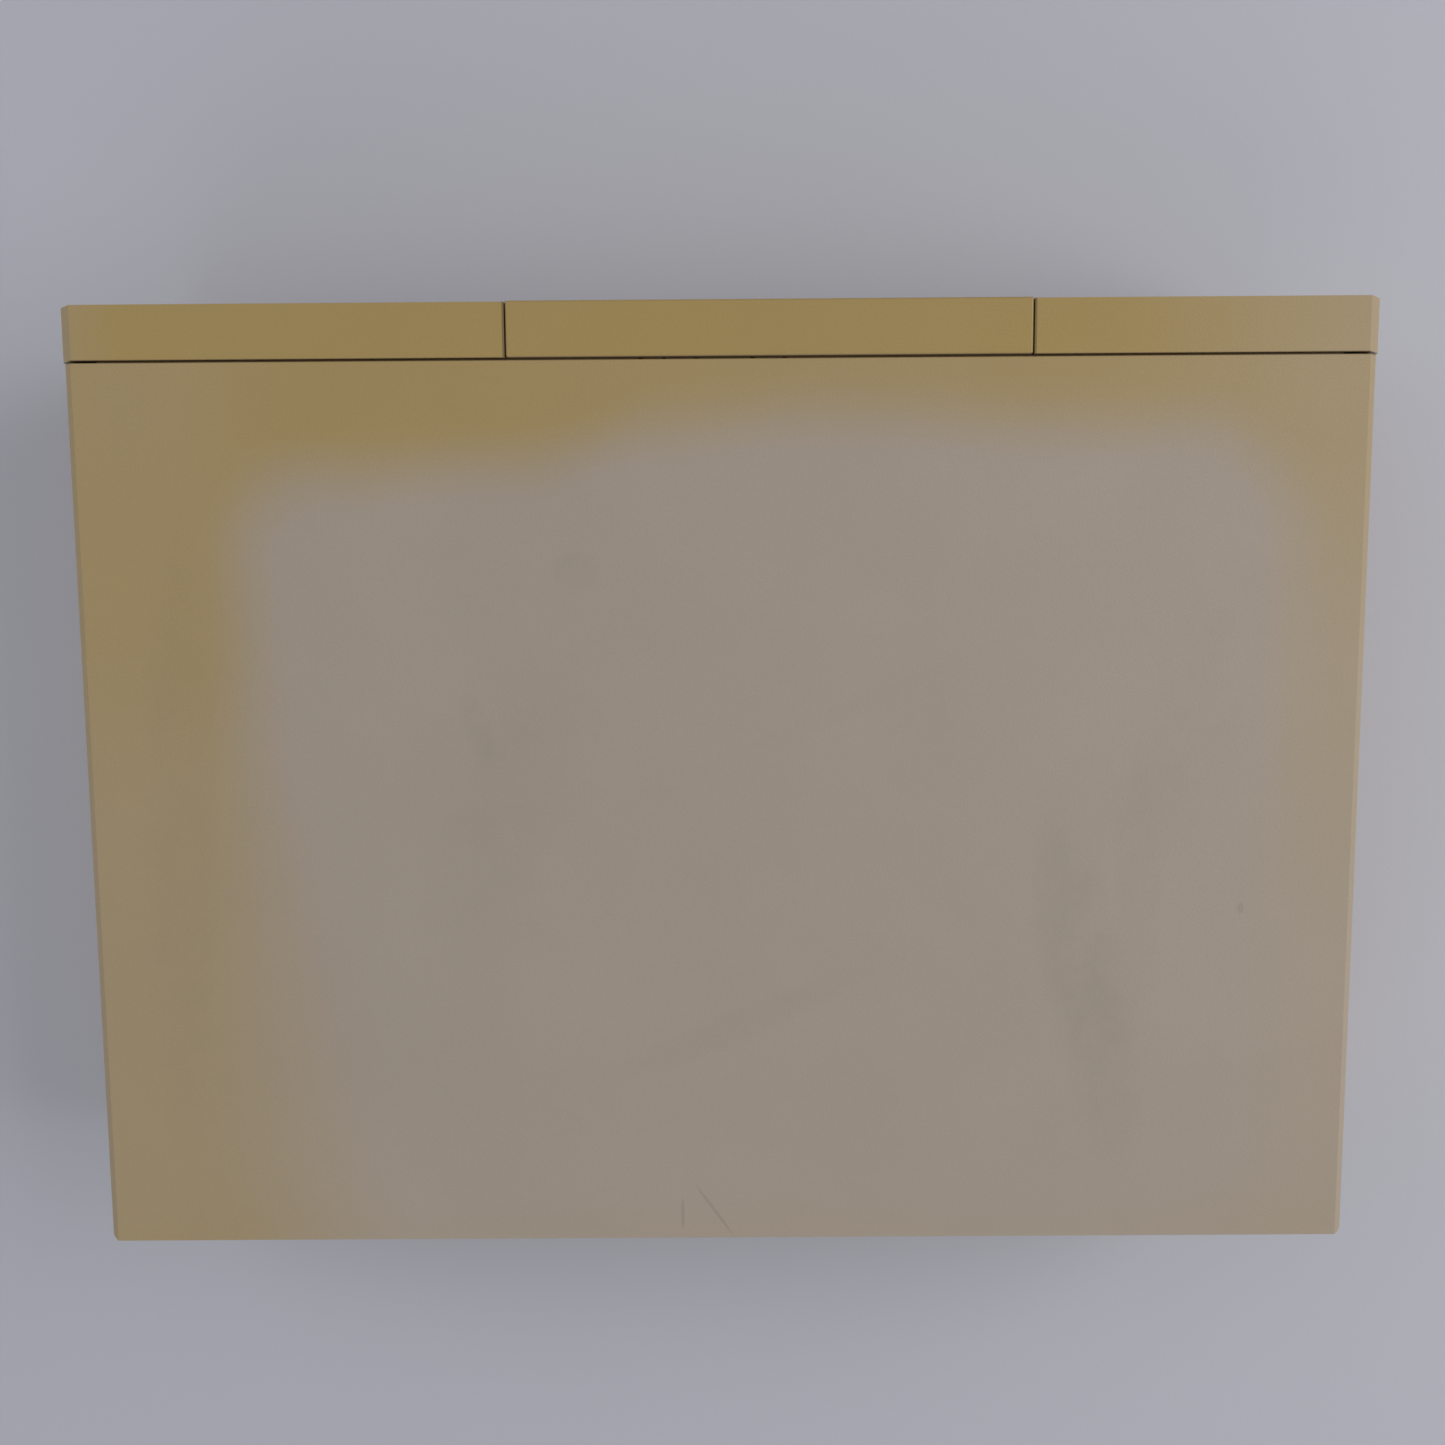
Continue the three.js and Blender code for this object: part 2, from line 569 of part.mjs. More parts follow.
// ---------- Power supply ----------
/** The supply's folded tray, open at the rear where the plate closes it. */
function supplyTray() {
  const { sheet } = powerSupply;
  const x = [supplyLeft, supplyRight];
  const z = [deckTop + contactGap, deckTop + 30];
  const outer = block(x, [supplyFront, supplyBack], z);
  const room = block([x[0] + sheet, x[1] - sheet], [supplyFront + sheet, supplyBack + 1],
    [z[0] + sheet, z[1] + 1]);
  return outer.subtract(room);
}

/** The supply's lid, which stands in the tray's walls and has a patch of slots. */
function supplyLid() {
  const { sheet } = powerSupply;
  const gap = sheet + contactGap;
  const x = [supplyLeft + gap, supplyRight - gap];
  const y = [supplyFront + gap, supplyBack];
  const z = [deckTop + 20, ceiling - 4];
  const outer = block(x, y, z);
  const room = block([x[0] + sheet, x[1] - sheet], [y[0] + sheet, y[1] + 1], [z[0] - 1, z[1] - sheet]);
  const slots = [];
  for (let i = 0; i < 8; i += 1) {
    const middle = y[0] + 24 + i * 9;
    slots.push(block([x[0] + 16, x[1] - 16], [middle - 2, middle + 2], [z[1] - 3, z[1] + 1]));
  }
  return cut(outer, [room, ...slots]);
}

/** The supply's own parts: board, transformer, capacitor and finned heatsink. */
function supplyParts(group) {
  const { sheet } = powerSupply;
  const floor = deckTop + contactGap + sheet;
  const board = [floor + 4, floor + 5.6];
  const x = [supplyLeft + sheet + 4, supplyRight - sheet - 4];
  const y = [supplyFront + sheet + 6, supplyBack - 24];
  const top = board[1] + contactGap;
  add(group, "psu_board", block(x, y, board), circuitBoard);
  const middle = (x[0] + x[1]) / 2;
  const core = block([middle - 24, middle + 20], [y[1] - 64, y[1] - 24], [top, top + 34]);
  const winding = block([middle - 19, middle + 15], [y[1] - 72, y[1] - 16], [top + 6, top + 28]);
  add(group, "psu_transformer", core.add(winding), castAlloy);
  const can = turned([[0, 0], [10.5, 0], [11, 0.6], [11, 31], [10, 32], [0, 32]]);
  add(group, "psu_capacitor", can, darkPlastic, [middle + 24, y[0] + 34, top]);
  const spine = block([x[0] + 6, x[0] + 9], [y[0] + 8, y[0] + 78], [top, top + 36]);
  const fins = [0, 1, 2, 3, 4].map((i) => {
    return block([x[0] + 8.5, x[0] + 22], [y[0] + 10 + i * 16, y[0] + 11.6 + i * 16], [top + 4, top + 36]);
  });
  add(group, "psu_heatsink", joined([spine, ...fins]), castAlloy);
}

/** The fan: a square frame with a round duct, and a bladed rotor that turns about Y. */
function fanParts(group) {
  const half = fan.size / 2;
  const back = supplyBack - 0.5;
  const y = [back - fan.depth, back];
  const { x, z } = fanPlace;
  const duct = rod("y", [z, x], half - 1.6, y[0] - 1, y[1] + 1, 32);
  const frame = block([x - half, x + half], y, [z - half, z + half]);
  const spokes = [0, 60, 120].map((angle) => {
    return block([-half + 1, half - 1], [y[0], y[0] + 1.4], [-1, 1]).rotate([0, angle, 0]).translate([x, 0, z]);
  });
  const seat = rod("y", [z, x], fan.hub, y[0], y[0] + 1.4);
  add(group, "fan_frame", joined([frame.subtract(duct), ...spokes, seat]), darkPlastic);
  const hub = rod("y", [0, 0], fan.hub, 2, fan.depth - 1.5);
  const blades = [];
  for (let i = 0; i < fan.blades; i += 1) {
    const blade = block([fan.hub - 1, fan.bladeTip], [-0.6, 0.6], [-5, 5]);
    blades.push(blade.rotate([42, 0, 0]).translate([0, fan.depth / 2 + 0.2, 0])
      .rotate([0, (360 * i) / fan.blades, 0]));
  }
  add(group, "fan_rotor", joined([hub, ...blades]), darkPlastic, [x, y[0], z]);
}

// ---------- Power switch ----------
/** The rocker switch in the base's left wall: a framed body and the rocker, pivoting about Z. */
function powerSwitch(group) {
  const wall = sideAt(switchHole.top, coverInset);
  const z = [switchHole.bottom + slideGap, switchHole.top - slideGap];
  const half = switchHole.length / 2 - slideGap;
  const outer = wall + 1.2;
  const body = block([-outer, -wall + 20], [-half, half], z);
  const flange = block([-outer, -wall - 0.3], [-half - 1.5, half + 1.5], [z[0] - 1.5, z[1] + 1.5]);
  const well = block([-outer - 1, -wall + 9], [-half + 1.8, half - 1.8], [z[0] + 1.6, z[1] - 1.6]);
  add(group, "power_switch_body", cut(body.add(flange), [well]), darkPlastic, [0, switchHole.y, 0]);
  const reach = half - 2.4;
  const face = [[-1.6, -reach], [-0.4, 0], [-1.6, reach], [3, reach], [6, 2.5], [6, -2.5], [3, -reach]];
  const rocker = prism("z", outline([...face].reverse()), z[0] + 2, z[1] - 2);
  const mesh = add(group, "power_rocker", rocker, darkPlastic, [-wall + 1.6, switchHole.y, 0]);
  mesh.rotation.z = THREE.MathUtils.degToRad(-7);
}

// ---------- Electronics ----------
/** Slots that let the drive bracket's left legs through the board and pan. */
function bracketSlots(grow) {
  const x = driveX - drive.width / 2 - 4;
  return bracketLegs().map(([y0, y1]) => {
    return block([x - grow, x + 1.2 + grow], [y0 - grow, y1 + grow], [0, caseHeight]);
  });
}

/** The two stretches along Y where the drive bracket has legs: between and behind the ports. */
function bracketLegs() {
  const [front, rear] = controllerPorts;
  const middle = (front.y + rear.y) / 2;
  const behind = rear.y + controllerPort.length / 2 + 2;
  return [[middle - 3.5, middle + 3.5], [behind, behind + 20]];
}

/** Places of the board's standoffs. */
function standoffPlaces() {
  const xs = [boardLeft + 8, (boardLeft + boardRight) / 2 - 40, boardRight - 8];
  const ys = [boardFront + 8, boardBack - 24];
  return ys.flatMap((y) => xs.map((x) => [x, y]));
}

/** Sheet pan under the board, with its pressed standoffs. */
function shieldPan() {
  const bottom = deckTop + contactGap;
  const sheet = block([boardLeft, boardRight], [boardFront, boardBack], [bottom, bottom + 0.8]);
  const pillars = standoffPlaces().map(([x, y]) => {
    return rod("z", [x, y], 3, bottom, boardBottom - contactGap, 12);
  });
  return cut(joined([sheet, ...pillars]), bracketSlots(1));
}

/** The main circuit board, with holes over its standoffs. */
function mainBoard() {
  const sheet = block([boardLeft, boardRight], [boardFront, boardBack], [boardBottom, boardTop]);
  const holes = standoffPlaces().map(([x, y]) => rod("z", [x, y], 1.7, boardBottom - 1, boardTop + 1, 12));
  return cut(sheet, [...holes, ...bracketSlots(1)]);
}

/** A dual-in-line chip lying along X, with its two rows of legs as strips. */
function chip(length, width) {
  const body = block([-length / 2, length / 2], [-width / 2, width / 2], [1, 4.8]);
  const legs = [-1, 1].map((side) => {
    const y = side * (width / 2);
    return block([-length / 2 + 1, length / 2 - 1], [y - 0.6, y + 0.6], [0, 2.6]);
  });
  return joined([body, ...legs]);
}

/** The board's chips, modulator can and the cartridge with its socket. */
function electronics(group) {
  const z = boardTop + contactGap;
  add(group, "shield_pan", shieldPan(), zincSheet);
  add(group, "main_board", mainBoard(), circuitBoard);
  const left = boardLeft + 52;
  const row = boardBack - 92;
  const chips = [["processor_chip", 81, left, 0], ["display_chip", 62, left, 36],
    ["audio_chip", 62, left + 84, 0], ["memory_control_chip", 62, left + 84, 36],
    ["system_rom_chip", 52, left, -34]];
  for (const [name, length, x, dy] of chips) {
    add(group, name, chip(length, 15), chipPlastic, [x, row + dy, z]);
  }
  const can = block([-22, 22], [-20, 20], [0, 22]);
  add(group, "modulator_can", can, zincSheet, [boardRight - 40, boardBack - 50, z]);
  const cartridgeBack = cartridgeFront + cartridge.depth;
  const socketX = [panelCentreX - 44, panelCentreX + 44];
  const socket = block(socketX, [cartridgeBack + contactGap, cartridgeBack + 11],
    [z, cartridgeBottom + cartridge.height - 2]);
  const half = cartridge.width / 2;
  const box = block([panelCentreX - half, panelCentreX + half], [cartridgeFront, cartridgeBack],
    [cartridgeBottom, cartridgeBottom + cartridge.height]);
  const pull = block([panelCentreX - 20, panelCentreX + 20], [cartridgeFront - 8, cartridgeFront + 1],
    [cartridgeBottom + cartridge.height - 4, cartridgeBottom + cartridge.height - 1.5]);
  add(group, "cartridge_socket", socket, beigePlastic);
  add(group, "memory_cartridge", box.add(pull), beigePlastic);
}

// ---------- Cables ----------
/** A flat cable bent along points in the YZ plane, with an even thickness. */
function ribbon(points, thickness, x0, x1) {
  const curve = new THREE.CatmullRomCurve3(points.map(([y, z]) => new THREE.Vector3(0, y, z)));
  const steps = 16;
  const upper = [];
  const lower = [];
  for (let i = 0; i <= steps; i += 1) {
    const at = curve.getPoint(i / steps);
    const way = curve.getTangent(i / steps);
    upper.push([at.y - (way.z * thickness) / 2, at.z + (way.y * thickness) / 2]);
    lower.push([at.y + (way.z * thickness) / 2, at.z - (way.y * thickness) / 2]);
  }
  return prism("x", outline([...lower, ...upper.reverse()]), x0, x1);
}

/** A round cable along a smooth curve through points. */
function cable(points, radius, steps) {
  const curve = new THREE.CatmullRomCurve3(points.map((point) => new THREE.Vector3(...point)));
  const circle = new THREE.Shape();
  circle.absarc(0, 0, radius, 0, 2 * Math.PI);
  const geometry = new THREE.ExtrudeGeometry(circle, { steps, extrudePath: curve, curveSegments: 4 });
  return solid(geometry);
}

/** The drive's flat cable and the supply's wiring harness, each with its plugs. */
function cables(group) {
  const z = boardTop + contactGap;
  const back = driveY + drive.length;
  const height = driveZ + 9;
  const header = back + 34;
  const flat = ribbon([[back + 3, height], [back + 16, height + 3], [back + 28, height - 2],
    [header, z + 14], [header, z + 8]], 1.2, driveX - 32, driveX + 10);
  const drivePlug = block([driveX - 34, driveX + 12], [back + contactGap, back + 9], [height - 4, height + 4]);
  const boardPlug = block([driveX - 34, driveX + 12], [header - 4, header + 4], [z, z + 9]);
  add(group, "drive_ribbon", joined([flat, drivePlug, boardPlug]), cablePlastic);
  const y = Math.max(supplyFront + 40, cartridgeFront + cartridge.depth + 28);
  const start = supplyRight + contactGap;
  const lead = cable([[start, y, z + 22], [start + 8, y, z + 22], [start + 18, y, z + 18],
    [start + 22, y, z + 10], [start + 22, y, z + 4]], 3, 12);
  const plug = block([start + 16, start + 28], [y - 14, y + 14], [z, z + 8]);
  add(group, "power_harness", lead.add(plug), cablePlastic);
}

// ---------- Disk drive, with its own origin at the faceplate's bottom centre ----------
const spindleY = 52;
const flapHinge = { y: drive.plate + 1.4, z: slotTop + 1.2 };
const leadScrew = { x: 22, z: 14, radius: 1.6, from: 89.4, to: 131 };
const guideRod = { x: -12, z: 12, radius: 1.5 };
const ejectKey = { x: 38, z: 9, width: 16, height: 6 };
const driveLight = { x: -38, z: 9, width: 5, height: 2.6 };

/** The faceplate with its disk slot, finger recess, and holes for the key and light. */
function driveFaceplate() {
  const half = drive.width / 2;
  const plate = block([-half, half], [0, drive.plate], [0, drive.height]);
  const slot = block([-diskSlot.width / 2, diskSlot.width / 2], [-1, drive.plate + 1], [slotBottom, slotTop]);
  const recess = prism("y", outline([[slotBottom - 5, -11], [slotBottom - 5, 11], [slotTop + 5, 15],
    [slotTop + 5, -15]]), -1, 3.2);
  const hole = ({ x, z, width, height }, gap) => block([x - width / 2 - gap, x + width / 2 + gap],
    [-1, drive.plate + 1], [z - height / 2 - gap, z + height / 2 + gap]);
  return cut(plate, [slot, recess, hole(ejectKey, slideGap), hole(driveLight, 0.2)]);
}

/** The cast chassis: a floor and two side walls, with a boss that carries the guide rod's end. */
function driveChassis() {
  const half = drive.width / 2;
  const y = [drive.plate + 0.4, drive.length];
  const wall = 2;
  const floor = block([-half, half], y, [3.6, 5.2]);
  const sides = [-1, 1].map((side) => {
    const span = side > 0 ? [half - wall, half] : [-half, -half + wall];
    return block(span, y, [0, drive.height - 2]);
  });
  const posts = [82, 138].map((end) => {
    return block([guideRod.x - 4, guideRod.x + 4], [end, end + 3], [5, guideRod.z + 3]);
  });
  const bearing = block([leadScrew.x - 4, leadScrew.x + 4], [86, 89], [5, leadScrew.z + 4]);
  const shaft = rod("y", [guideRod.z, guideRod.x], guideRod.radius, 82.5, 140.5, 16);
  return joined([floor, ...sides, ...posts, bearing, shaft]);
}

/** The sheet lid over the disk bay, open above the heads. */
function driveTopPlate() {
  const half = drive.width / 2;
  const sheet = block([-half, half], [drive.plate + 0.4, drive.length], [drive.height - 1.7, drive.height - 0.7]);
  return cut(sheet, [block([-18, 18], [80, 134], [0, drive.height])]);
}

/** The head carriage: a block on the guide rod with an arm above and below the disk. */
function headCarriage() {
  const body = block([guideRod.x - 5, 12], [113, 129], [8, 26]);
  const lower = block([-6, 6], [88, 114], [10, slotBottom - 0.8]);
  const upper = block([-6, 6], [88, 114], [slotTop + 0.8, 26]);
  const finger = block([11, leadScrew.x - leadScrew.radius - 0.4], [116, 122], [12, 16]);
  const bore = rod("y", [guideRod.z, guideRod.x], guideRod.radius + slideGap, 100, 140, 16);
  return cut(joined([body, lower, upper, finger]), [bore]);
}

/** The spindle: a flat rotor under the disk with a raised hub. */
function spindleRotor() {
  return turned([[0, 5.6], [27, 5.6], [27, 9], [13, 9], [13, 13], [12, slotBottom - 0.6],
    [2, slotBottom - 0.6], [2, slotBottom - 0.2], [0, slotBottom - 0.2]], 36);
}

/** The dust flap, hanging from its hinge rod behind the slot. */
function diskFlap() {
  const half = diskSlot.width / 2 - 0.8;
  const hingeRod = rod("x", [0, 0], 0.9, -half - 1.2, half + 1.2, 12);
  const leaf = block([-half, half], [-0.6, 0.6], [slotBottom - 0.6 - flapHinge.z, 0]);
  return hingeRod.add(leaf);
}

/** The eject key with the stem that reaches into the drive. */
function ejectButton() {
  const half = ejectKey.width / 2;
  const tall = ejectKey.height / 2;
  const key = block([-half, half], [-drive.recess + 0.4, drive.plate - 0.6], [-tall, tall]);
  const stem = block([2, 5], [drive.plate - 1, drive.plate + 12], [-2, 2]);
  return key.add(stem);
}

/** The drive as a group, with its bracket left to the case. */
function diskDrive() {
  const group = new THREE.Group();
  group.position.set(driveX, driveY, driveZ);
  add(group, "drive_faceplate", driveFaceplate(), yellowedPlastic);
  add(group, "drive_chassis", driveChassis(), castAlloy);
  add(group, "drive_top_plate", driveTopPlate(), zincSheet);
  add(group, "drive_board", block([-46, 46], [24, drive.length - 4], [0.6, 2.2]), circuitBoard);
  add(group, "head_carriage", headCarriage(), darkPlastic);
  const { x, z, radius, from, to } = leadScrew;
  add(group, "lead_screw", rod("y", [0, 0], radius, from, to, 16), brightSteel, [x, 0, z]);
  const motor = rod("y", [0, 0], 8.6, to + 0.4, drive.length);
  add(group, "stepper_motor", motor, zincSheet, [x, 0, z]);
  add(group, "spindle_rotor", spindleRotor(), brightSteel, [0, spindleY, 0]);
  add(group, "disk_flap", diskFlap(), darkPlastic, [0, flapHinge.y, flapHinge.z]);
  add(group, "eject_button", ejectButton(), yellowedPlastic, [ejectKey.x, 0, ejectKey.z]);
  const light = block([-driveLight.width / 2, driveLight.width / 2], [-0.6, drive.plate],
    [-driveLight.height / 2, driveLight.height / 2]);
  add(group, "drive_light", light, greenLens, [driveLight.x, 0, driveLight.z]);
  return group;
}

/** The folded bracket that carries the drive over the board. */
function driveBracket() {
  const left = driveX - drive.width / 2 - 4;
  const right = driveX + drive.width / 2 + 3;
  const [[front], [, back]] = bracketLegs();
  const top = driveZ - contactGap;
  const foot = deckTop + contactGap;
  const shelf = block([left, right], [front, back], [top - 1.2, top]);
  const legs = bracketLegs().flatMap(([y0, y1]) => [
    block([left, left + 1.2], [y0, y1], [foot, top]),
    block([Math.max(right - 1.2, boardRight + 1), Math.max(right, boardRight + 2.2)], [y0, y1], [foot, top]),
  ]);
  const reach = block([right - 2, Math.max(right, boardRight + 2.2)], [front, back], [top - 1.2, top]);
  return joined([shelf, reach, ...legs]);
}

// ---------- Assembly ----------
/** Shells, feet and screws. */
function casing(group) {
  add(group, "base_tray", baseTray(), beigePlastic);
  add(group, "top_cover", topCover(), beigePlastic);
  add(group, "front_bezel", frontBezel(), yellowedPlastic);
  add(group, "centre_panel", centrePanel(), yellowedPlastic);
  add(group, "expansion_cover", expansionCover(), beigePlastic);
  for (const { name, x, y } of bossPlaces()) {
    const inward = y < 0 ? y + 18 : y - 18;
    add(group, `foot_${name}`, rubberFoot(), blackRubber, [x, inward, 0]);
    add(group, `case_screw_${name}`, caseScrew(), zincSheet,
      [x, y, screw.seat - screw.headHeight - contactGap]);
  }
  const depth = [bezelFront + 0.4, bezelFront + shellWall + 3];
  const lens = block([powerLight.x - powerLight.width / 2 + 0.2, powerLight.x + powerLight.width / 2 - 0.2],
    depth, [powerLight.z - powerLight.height / 2 + 0.2, powerLight.z + powerLight.height / 2 - 0.2]);
  add(group, "power_light", lens, redLens);
}

/** The rear plate, its ports, and the two controller ports and expansion connector at the side. */
function ports(group) {
  add(group, "rear_panel", rearPanel(), zincSheet);
  const shapes = { keyboard_jack: keyboardJack, audio_jacks: audioJacks, video_jack: videoJack };
  for (const { name, x } of portPlaces()) {
    const kind = portKinds[name];
    const shape = kind ? dSocket(kind) : shapes[name]();
    add(group, name, shape, kind ? brightSteel : darkPlastic, [x, plateFront, portCentreZ]);
  }
  add(group, "mains_inlet", mainsInlet(), darkPlastic, [inletPlace.x, plateFront, inletPlace.z]);
  const wall = sideAt(controllerPort.centre, coverInset) - 0.4;
  for (const { name, y } of controllerPorts) {
    const { length, height, centre } = controllerPort;
    const body = block([boardRight - 9, wall - 5], [y - length / 2, y + length / 2],
      [boardTop + contactGap, centre + height / 2]);
    const nose = prism("x", outline(dOutline(17, 9).map(([z, x]) => [x, z])), wall - 6, wall)
      .translate([0, y, centre]);
    add(group, `controller_port_${name}`, body.add(nose), brightSteel);
  }
  const edge = block([boardRight - 12, wall - 8], [expansion.y - 38, expansion.y + 38],
    [boardTop + contactGap, boardTop + 8]);
  add(group, "expansion_connector", edge, darkPlastic);
}

/** The whole computer. */
function computer() {
  const group = new THREE.Group();
  casing(group);
  electronics(group);
  add(group, "psu_tray", supplyTray(), zincSheet);
  add(group, "psu_lid", supplyLid(), zincSheet);
  supplyParts(group);
  fanParts(group);
  powerSwitch(group);
  ports(group);
  add(group, "drive_bracket", driveBracket(), zincSheet);
  group.add(diskDrive());
  cables(group);
  return group;
}

export default computer();
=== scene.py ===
"""Finished look of a low, flat desktop computer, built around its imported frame.

Sizes of pieces are in millimetres, and a piece is turned into metres when it is put in the scene.
Places and scales in finishes, the camera and the lamps are in metres.
"""

import logging
import math
from dataclasses import dataclass, field
from enum import Enum
from typing import Iterable, Sequence

import bmesh
import bpy
import numpy as np
from mathutils import Matrix, Vector


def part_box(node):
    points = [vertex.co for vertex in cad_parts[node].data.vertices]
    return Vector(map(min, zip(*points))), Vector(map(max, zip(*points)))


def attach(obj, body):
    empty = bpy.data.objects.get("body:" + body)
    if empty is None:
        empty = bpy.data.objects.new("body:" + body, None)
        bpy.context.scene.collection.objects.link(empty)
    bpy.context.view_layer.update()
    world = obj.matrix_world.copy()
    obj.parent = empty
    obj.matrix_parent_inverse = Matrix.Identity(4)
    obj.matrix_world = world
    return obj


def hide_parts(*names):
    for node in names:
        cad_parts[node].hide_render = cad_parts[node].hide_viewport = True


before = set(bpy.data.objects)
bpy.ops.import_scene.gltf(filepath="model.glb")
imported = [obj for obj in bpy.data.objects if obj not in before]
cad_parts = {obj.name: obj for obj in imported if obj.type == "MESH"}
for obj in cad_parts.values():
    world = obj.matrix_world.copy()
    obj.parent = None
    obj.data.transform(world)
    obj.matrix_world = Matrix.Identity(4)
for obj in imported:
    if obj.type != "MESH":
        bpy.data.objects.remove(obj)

LOG = logging.getLogger("desktop_computer")
MM = 0.001
Vec = Sequence[float]
Socket = bpy.types.NodeSocket
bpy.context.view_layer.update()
SHARP_EDGE = 40  # degrees past which a CAD edge is rounded
SHARE_OF_ROOM = 0.45  # most of a face's shortest side that a rounding may take
LEAST_SHARE = 0.04  # least share of the wanted radius that an edge gets


# ---------------------------------------------------------------------------------------------
# Surfaces
# ---------------------------------------------------------------------------------------------


@dataclass
class Surface:
    """A set of points and four-sided faces in millimetres. A face may repeat a point to be a triangle.

    Attributes:
        points: Array of shape (n, 3).
        faces: Integer array of shape (m, 4).
    """

    points: np.ndarray
    faces: np.ndarray

    def moved(self, offset: Vec) -> "Surface":
        """The same surface shifted by an offset."""
        return Surface(self.points + np.asarray(offset, float), self.faces)

    def along(self, axis: str) -> "Surface":
        """The surface with its Z axis laid along another, by swapping axes in a circle.

        Args:
            axis: "x", "y" or "z".

        Returns:
            The turned surface, with its faces still outwards.
        """
        order = {"x": (2, 0, 1), "y": (1, 2, 0), "z": (0, 1, 2)}[axis]
        return Surface(self.points[:, order], self.faces)

    def turned(self, degrees: float, axis: str = "z") -> "Surface":
        """The surface turned about an axis through the origin."""
        turn = np.array(Matrix.Rotation(math.radians(degrees), 3, axis.upper()))
        return Surface(self.points @ turn.T, self.faces)

    def repeated(self, offsets: Iterable[Vec]) -> "Surface":
        """One copy of the surface at each offset, all in one.

        Args:
            offsets: The shifts of the copies.

        Returns:
            The copies as one surface.
        """
        shifts = np.asarray(list(offsets), float)
        count = len(self.points)
        points = (self.points[None] + shifts[:, None]).reshape(-1, 3)
        faces = (self.faces[None] + np.arange(len(shifts))[:, None, None] * count).reshape(-1, 4)
        return Surface(points, faces)


def joined(surfaces: Iterable[Surface]) -> Surface:
    """Several surfaces as one.

    Args:
        surfaces: The surfaces to put together.

    Returns:
        One surface with all their points and faces.
    """
    parts = list(surfaces)
    starts = np.cumsum([0] + [len(p.points) for p in parts[:-1]])
    return Surface(
        np.concatenate([p.points for p in parts]),
        np.concatenate([p.faces + s for p, s in zip(parts, starts)]),
    )


def grid(points: np.ndarray, wrap_u: bool = False, wrap_v: bool = False) -> Surface:
    """A surface through a grid of points: face (i, j) joins rows i, i+1 and columns j, j+1.

    Args:
        points: Array of shape (rows, columns, 3).
        wrap_u: Whether the last row joins the first.
        wrap_v: Whether the last column joins the first.

    Returns:
        The surface, facing the way that (row direction) x (column direction) points.
    """
    rows, columns = points.shape[:2]
    i = np.arange(rows if wrap_u else rows - 1)[:, None]
    j = np.arange(columns if wrap_v else columns - 1)[None]
    i1, j1 = (i + 1) % rows, (j + 1) % columns
    faces = np.stack([i * columns + j, i1 * columns + j, i1 * columns + j1, i * columns + j1], -1)
    return Surface(points.reshape(-1, 3), faces.reshape(-1, 4))


def lathe(profile: Sequence[Vec], centre: Vec = (0, 0, 0), sides: int = 32) -> Surface:
    """A turned shape: x = r cos a, y = r sin a, z = h for each (r, h) of a profile.

    Args:
        profile: (radius, height) pairs. Going up the outside keeps the faces outwards.
        centre: Where the axis stands.
        sides: Steps round the axis.

    Returns:
        The surface of revolution about Z.
    """
    rh = np.asarray(profile, float)
    a = np.linspace(0, 2 * np.pi, sides, endpoint=False)[:, None]
    r, h = rh[None, :, 0], rh[None, :, 1]
    points = np.stack([r * np.cos(a), r * np.sin(a), h + 0 * a], -1)
    return grid(points, wrap_u=True).moved(centre)


def block(low: Vec, high: Vec, radius: float = 0.3, steps: int = 2) -> Surface:
    """A box with rounded edges: a ball of the radius at (a, e), each octant pushed out to its corner.

    Args:
        low: Lowest corner.
        high: Highest corner.
        radius: Edge radius, at most half the smallest side.
        steps: Steps in each quarter turn of an edge.

    Returns:
        The closed surface.
    """
    lo, hi = np.asarray(low, float), np.asarray(high, float)
    half = (hi - lo) / 2
    r = min(radius, half.min() * 0.98)
    quarter = np.linspace(0, np.pi / 2, steps + 1)
    a = np.concatenate([quarter + k * np.pi / 2 for k in range(4)])[:, None]
    e = np.concatenate([quarter - np.pi / 2, quarter])[None]
    signs_x = np.repeat([1.0, -1.0, -1.0, 1.0], steps + 1)[:, None]
    signs_y = np.repeat([1.0, 1.0, -1.0, -1.0], steps + 1)[:, None]
    signs_z = np.repeat([-1.0, 1.0], steps + 1)[None]
    unit = np.stack([np.cos(e) * np.cos(a), np.cos(e) * np.sin(a), np.sin(e) + 0 * a], -1)
    sign = np.stack(np.broadcast_arrays(signs_x, signs_y, signs_z), -1)
    ball = grid(unit * r + sign * (half - r), wrap_u=True)
    columns = 2 * (steps + 1)
    corners = np.arange(4) * (steps + 1) * columns
    caps = np.array([corners[::-1], corners + columns - 1])
    return Surface(ball.points, np.concatenate([ball.faces, caps])).moved((lo + hi) / 2)


def sweep(path: np.ndarray, profile: np.ndarray, side: Vec, caps: bool = True) -> Surface:
    """A closed profile carried along a path: point = path + s * across + t * up.

    Args:
        path: Array of shape (n, 3).
        profile: Array of shape (k, 2) of (s, t), going round anticlockwise.
        side: A direction never along the path. up is square to it and the path.
        caps: Whether the ends are closed.

    Returns:
        The swept surface.
    """
    path = np.asarray(path, float)
    ahead = np.gradient(path, axis=0)
    ahead /= np.linalg.norm(ahead, axis=1, keepdims=True)
    up = np.cross(ahead, np.asarray(side, float))
    up /= np.linalg.norm(up, axis=1, keepdims=True)
    across = np.cross(up, ahead)
    ring = profile[None, :, 0, None] * across[:, None] + profile[None, :, 1, None] * up[:, None]
    points = path[:, None] + ring
    if caps:
        ends = [np.repeat(points[k].mean(0)[None], points.shape[1], 0)[None] for k in (0, -1)]
        points = np.concatenate([ends[0], points, ends[1]])
    made = grid(points, wrap_v=True)
    return Surface(made.points, made.faces[:, ::-1])


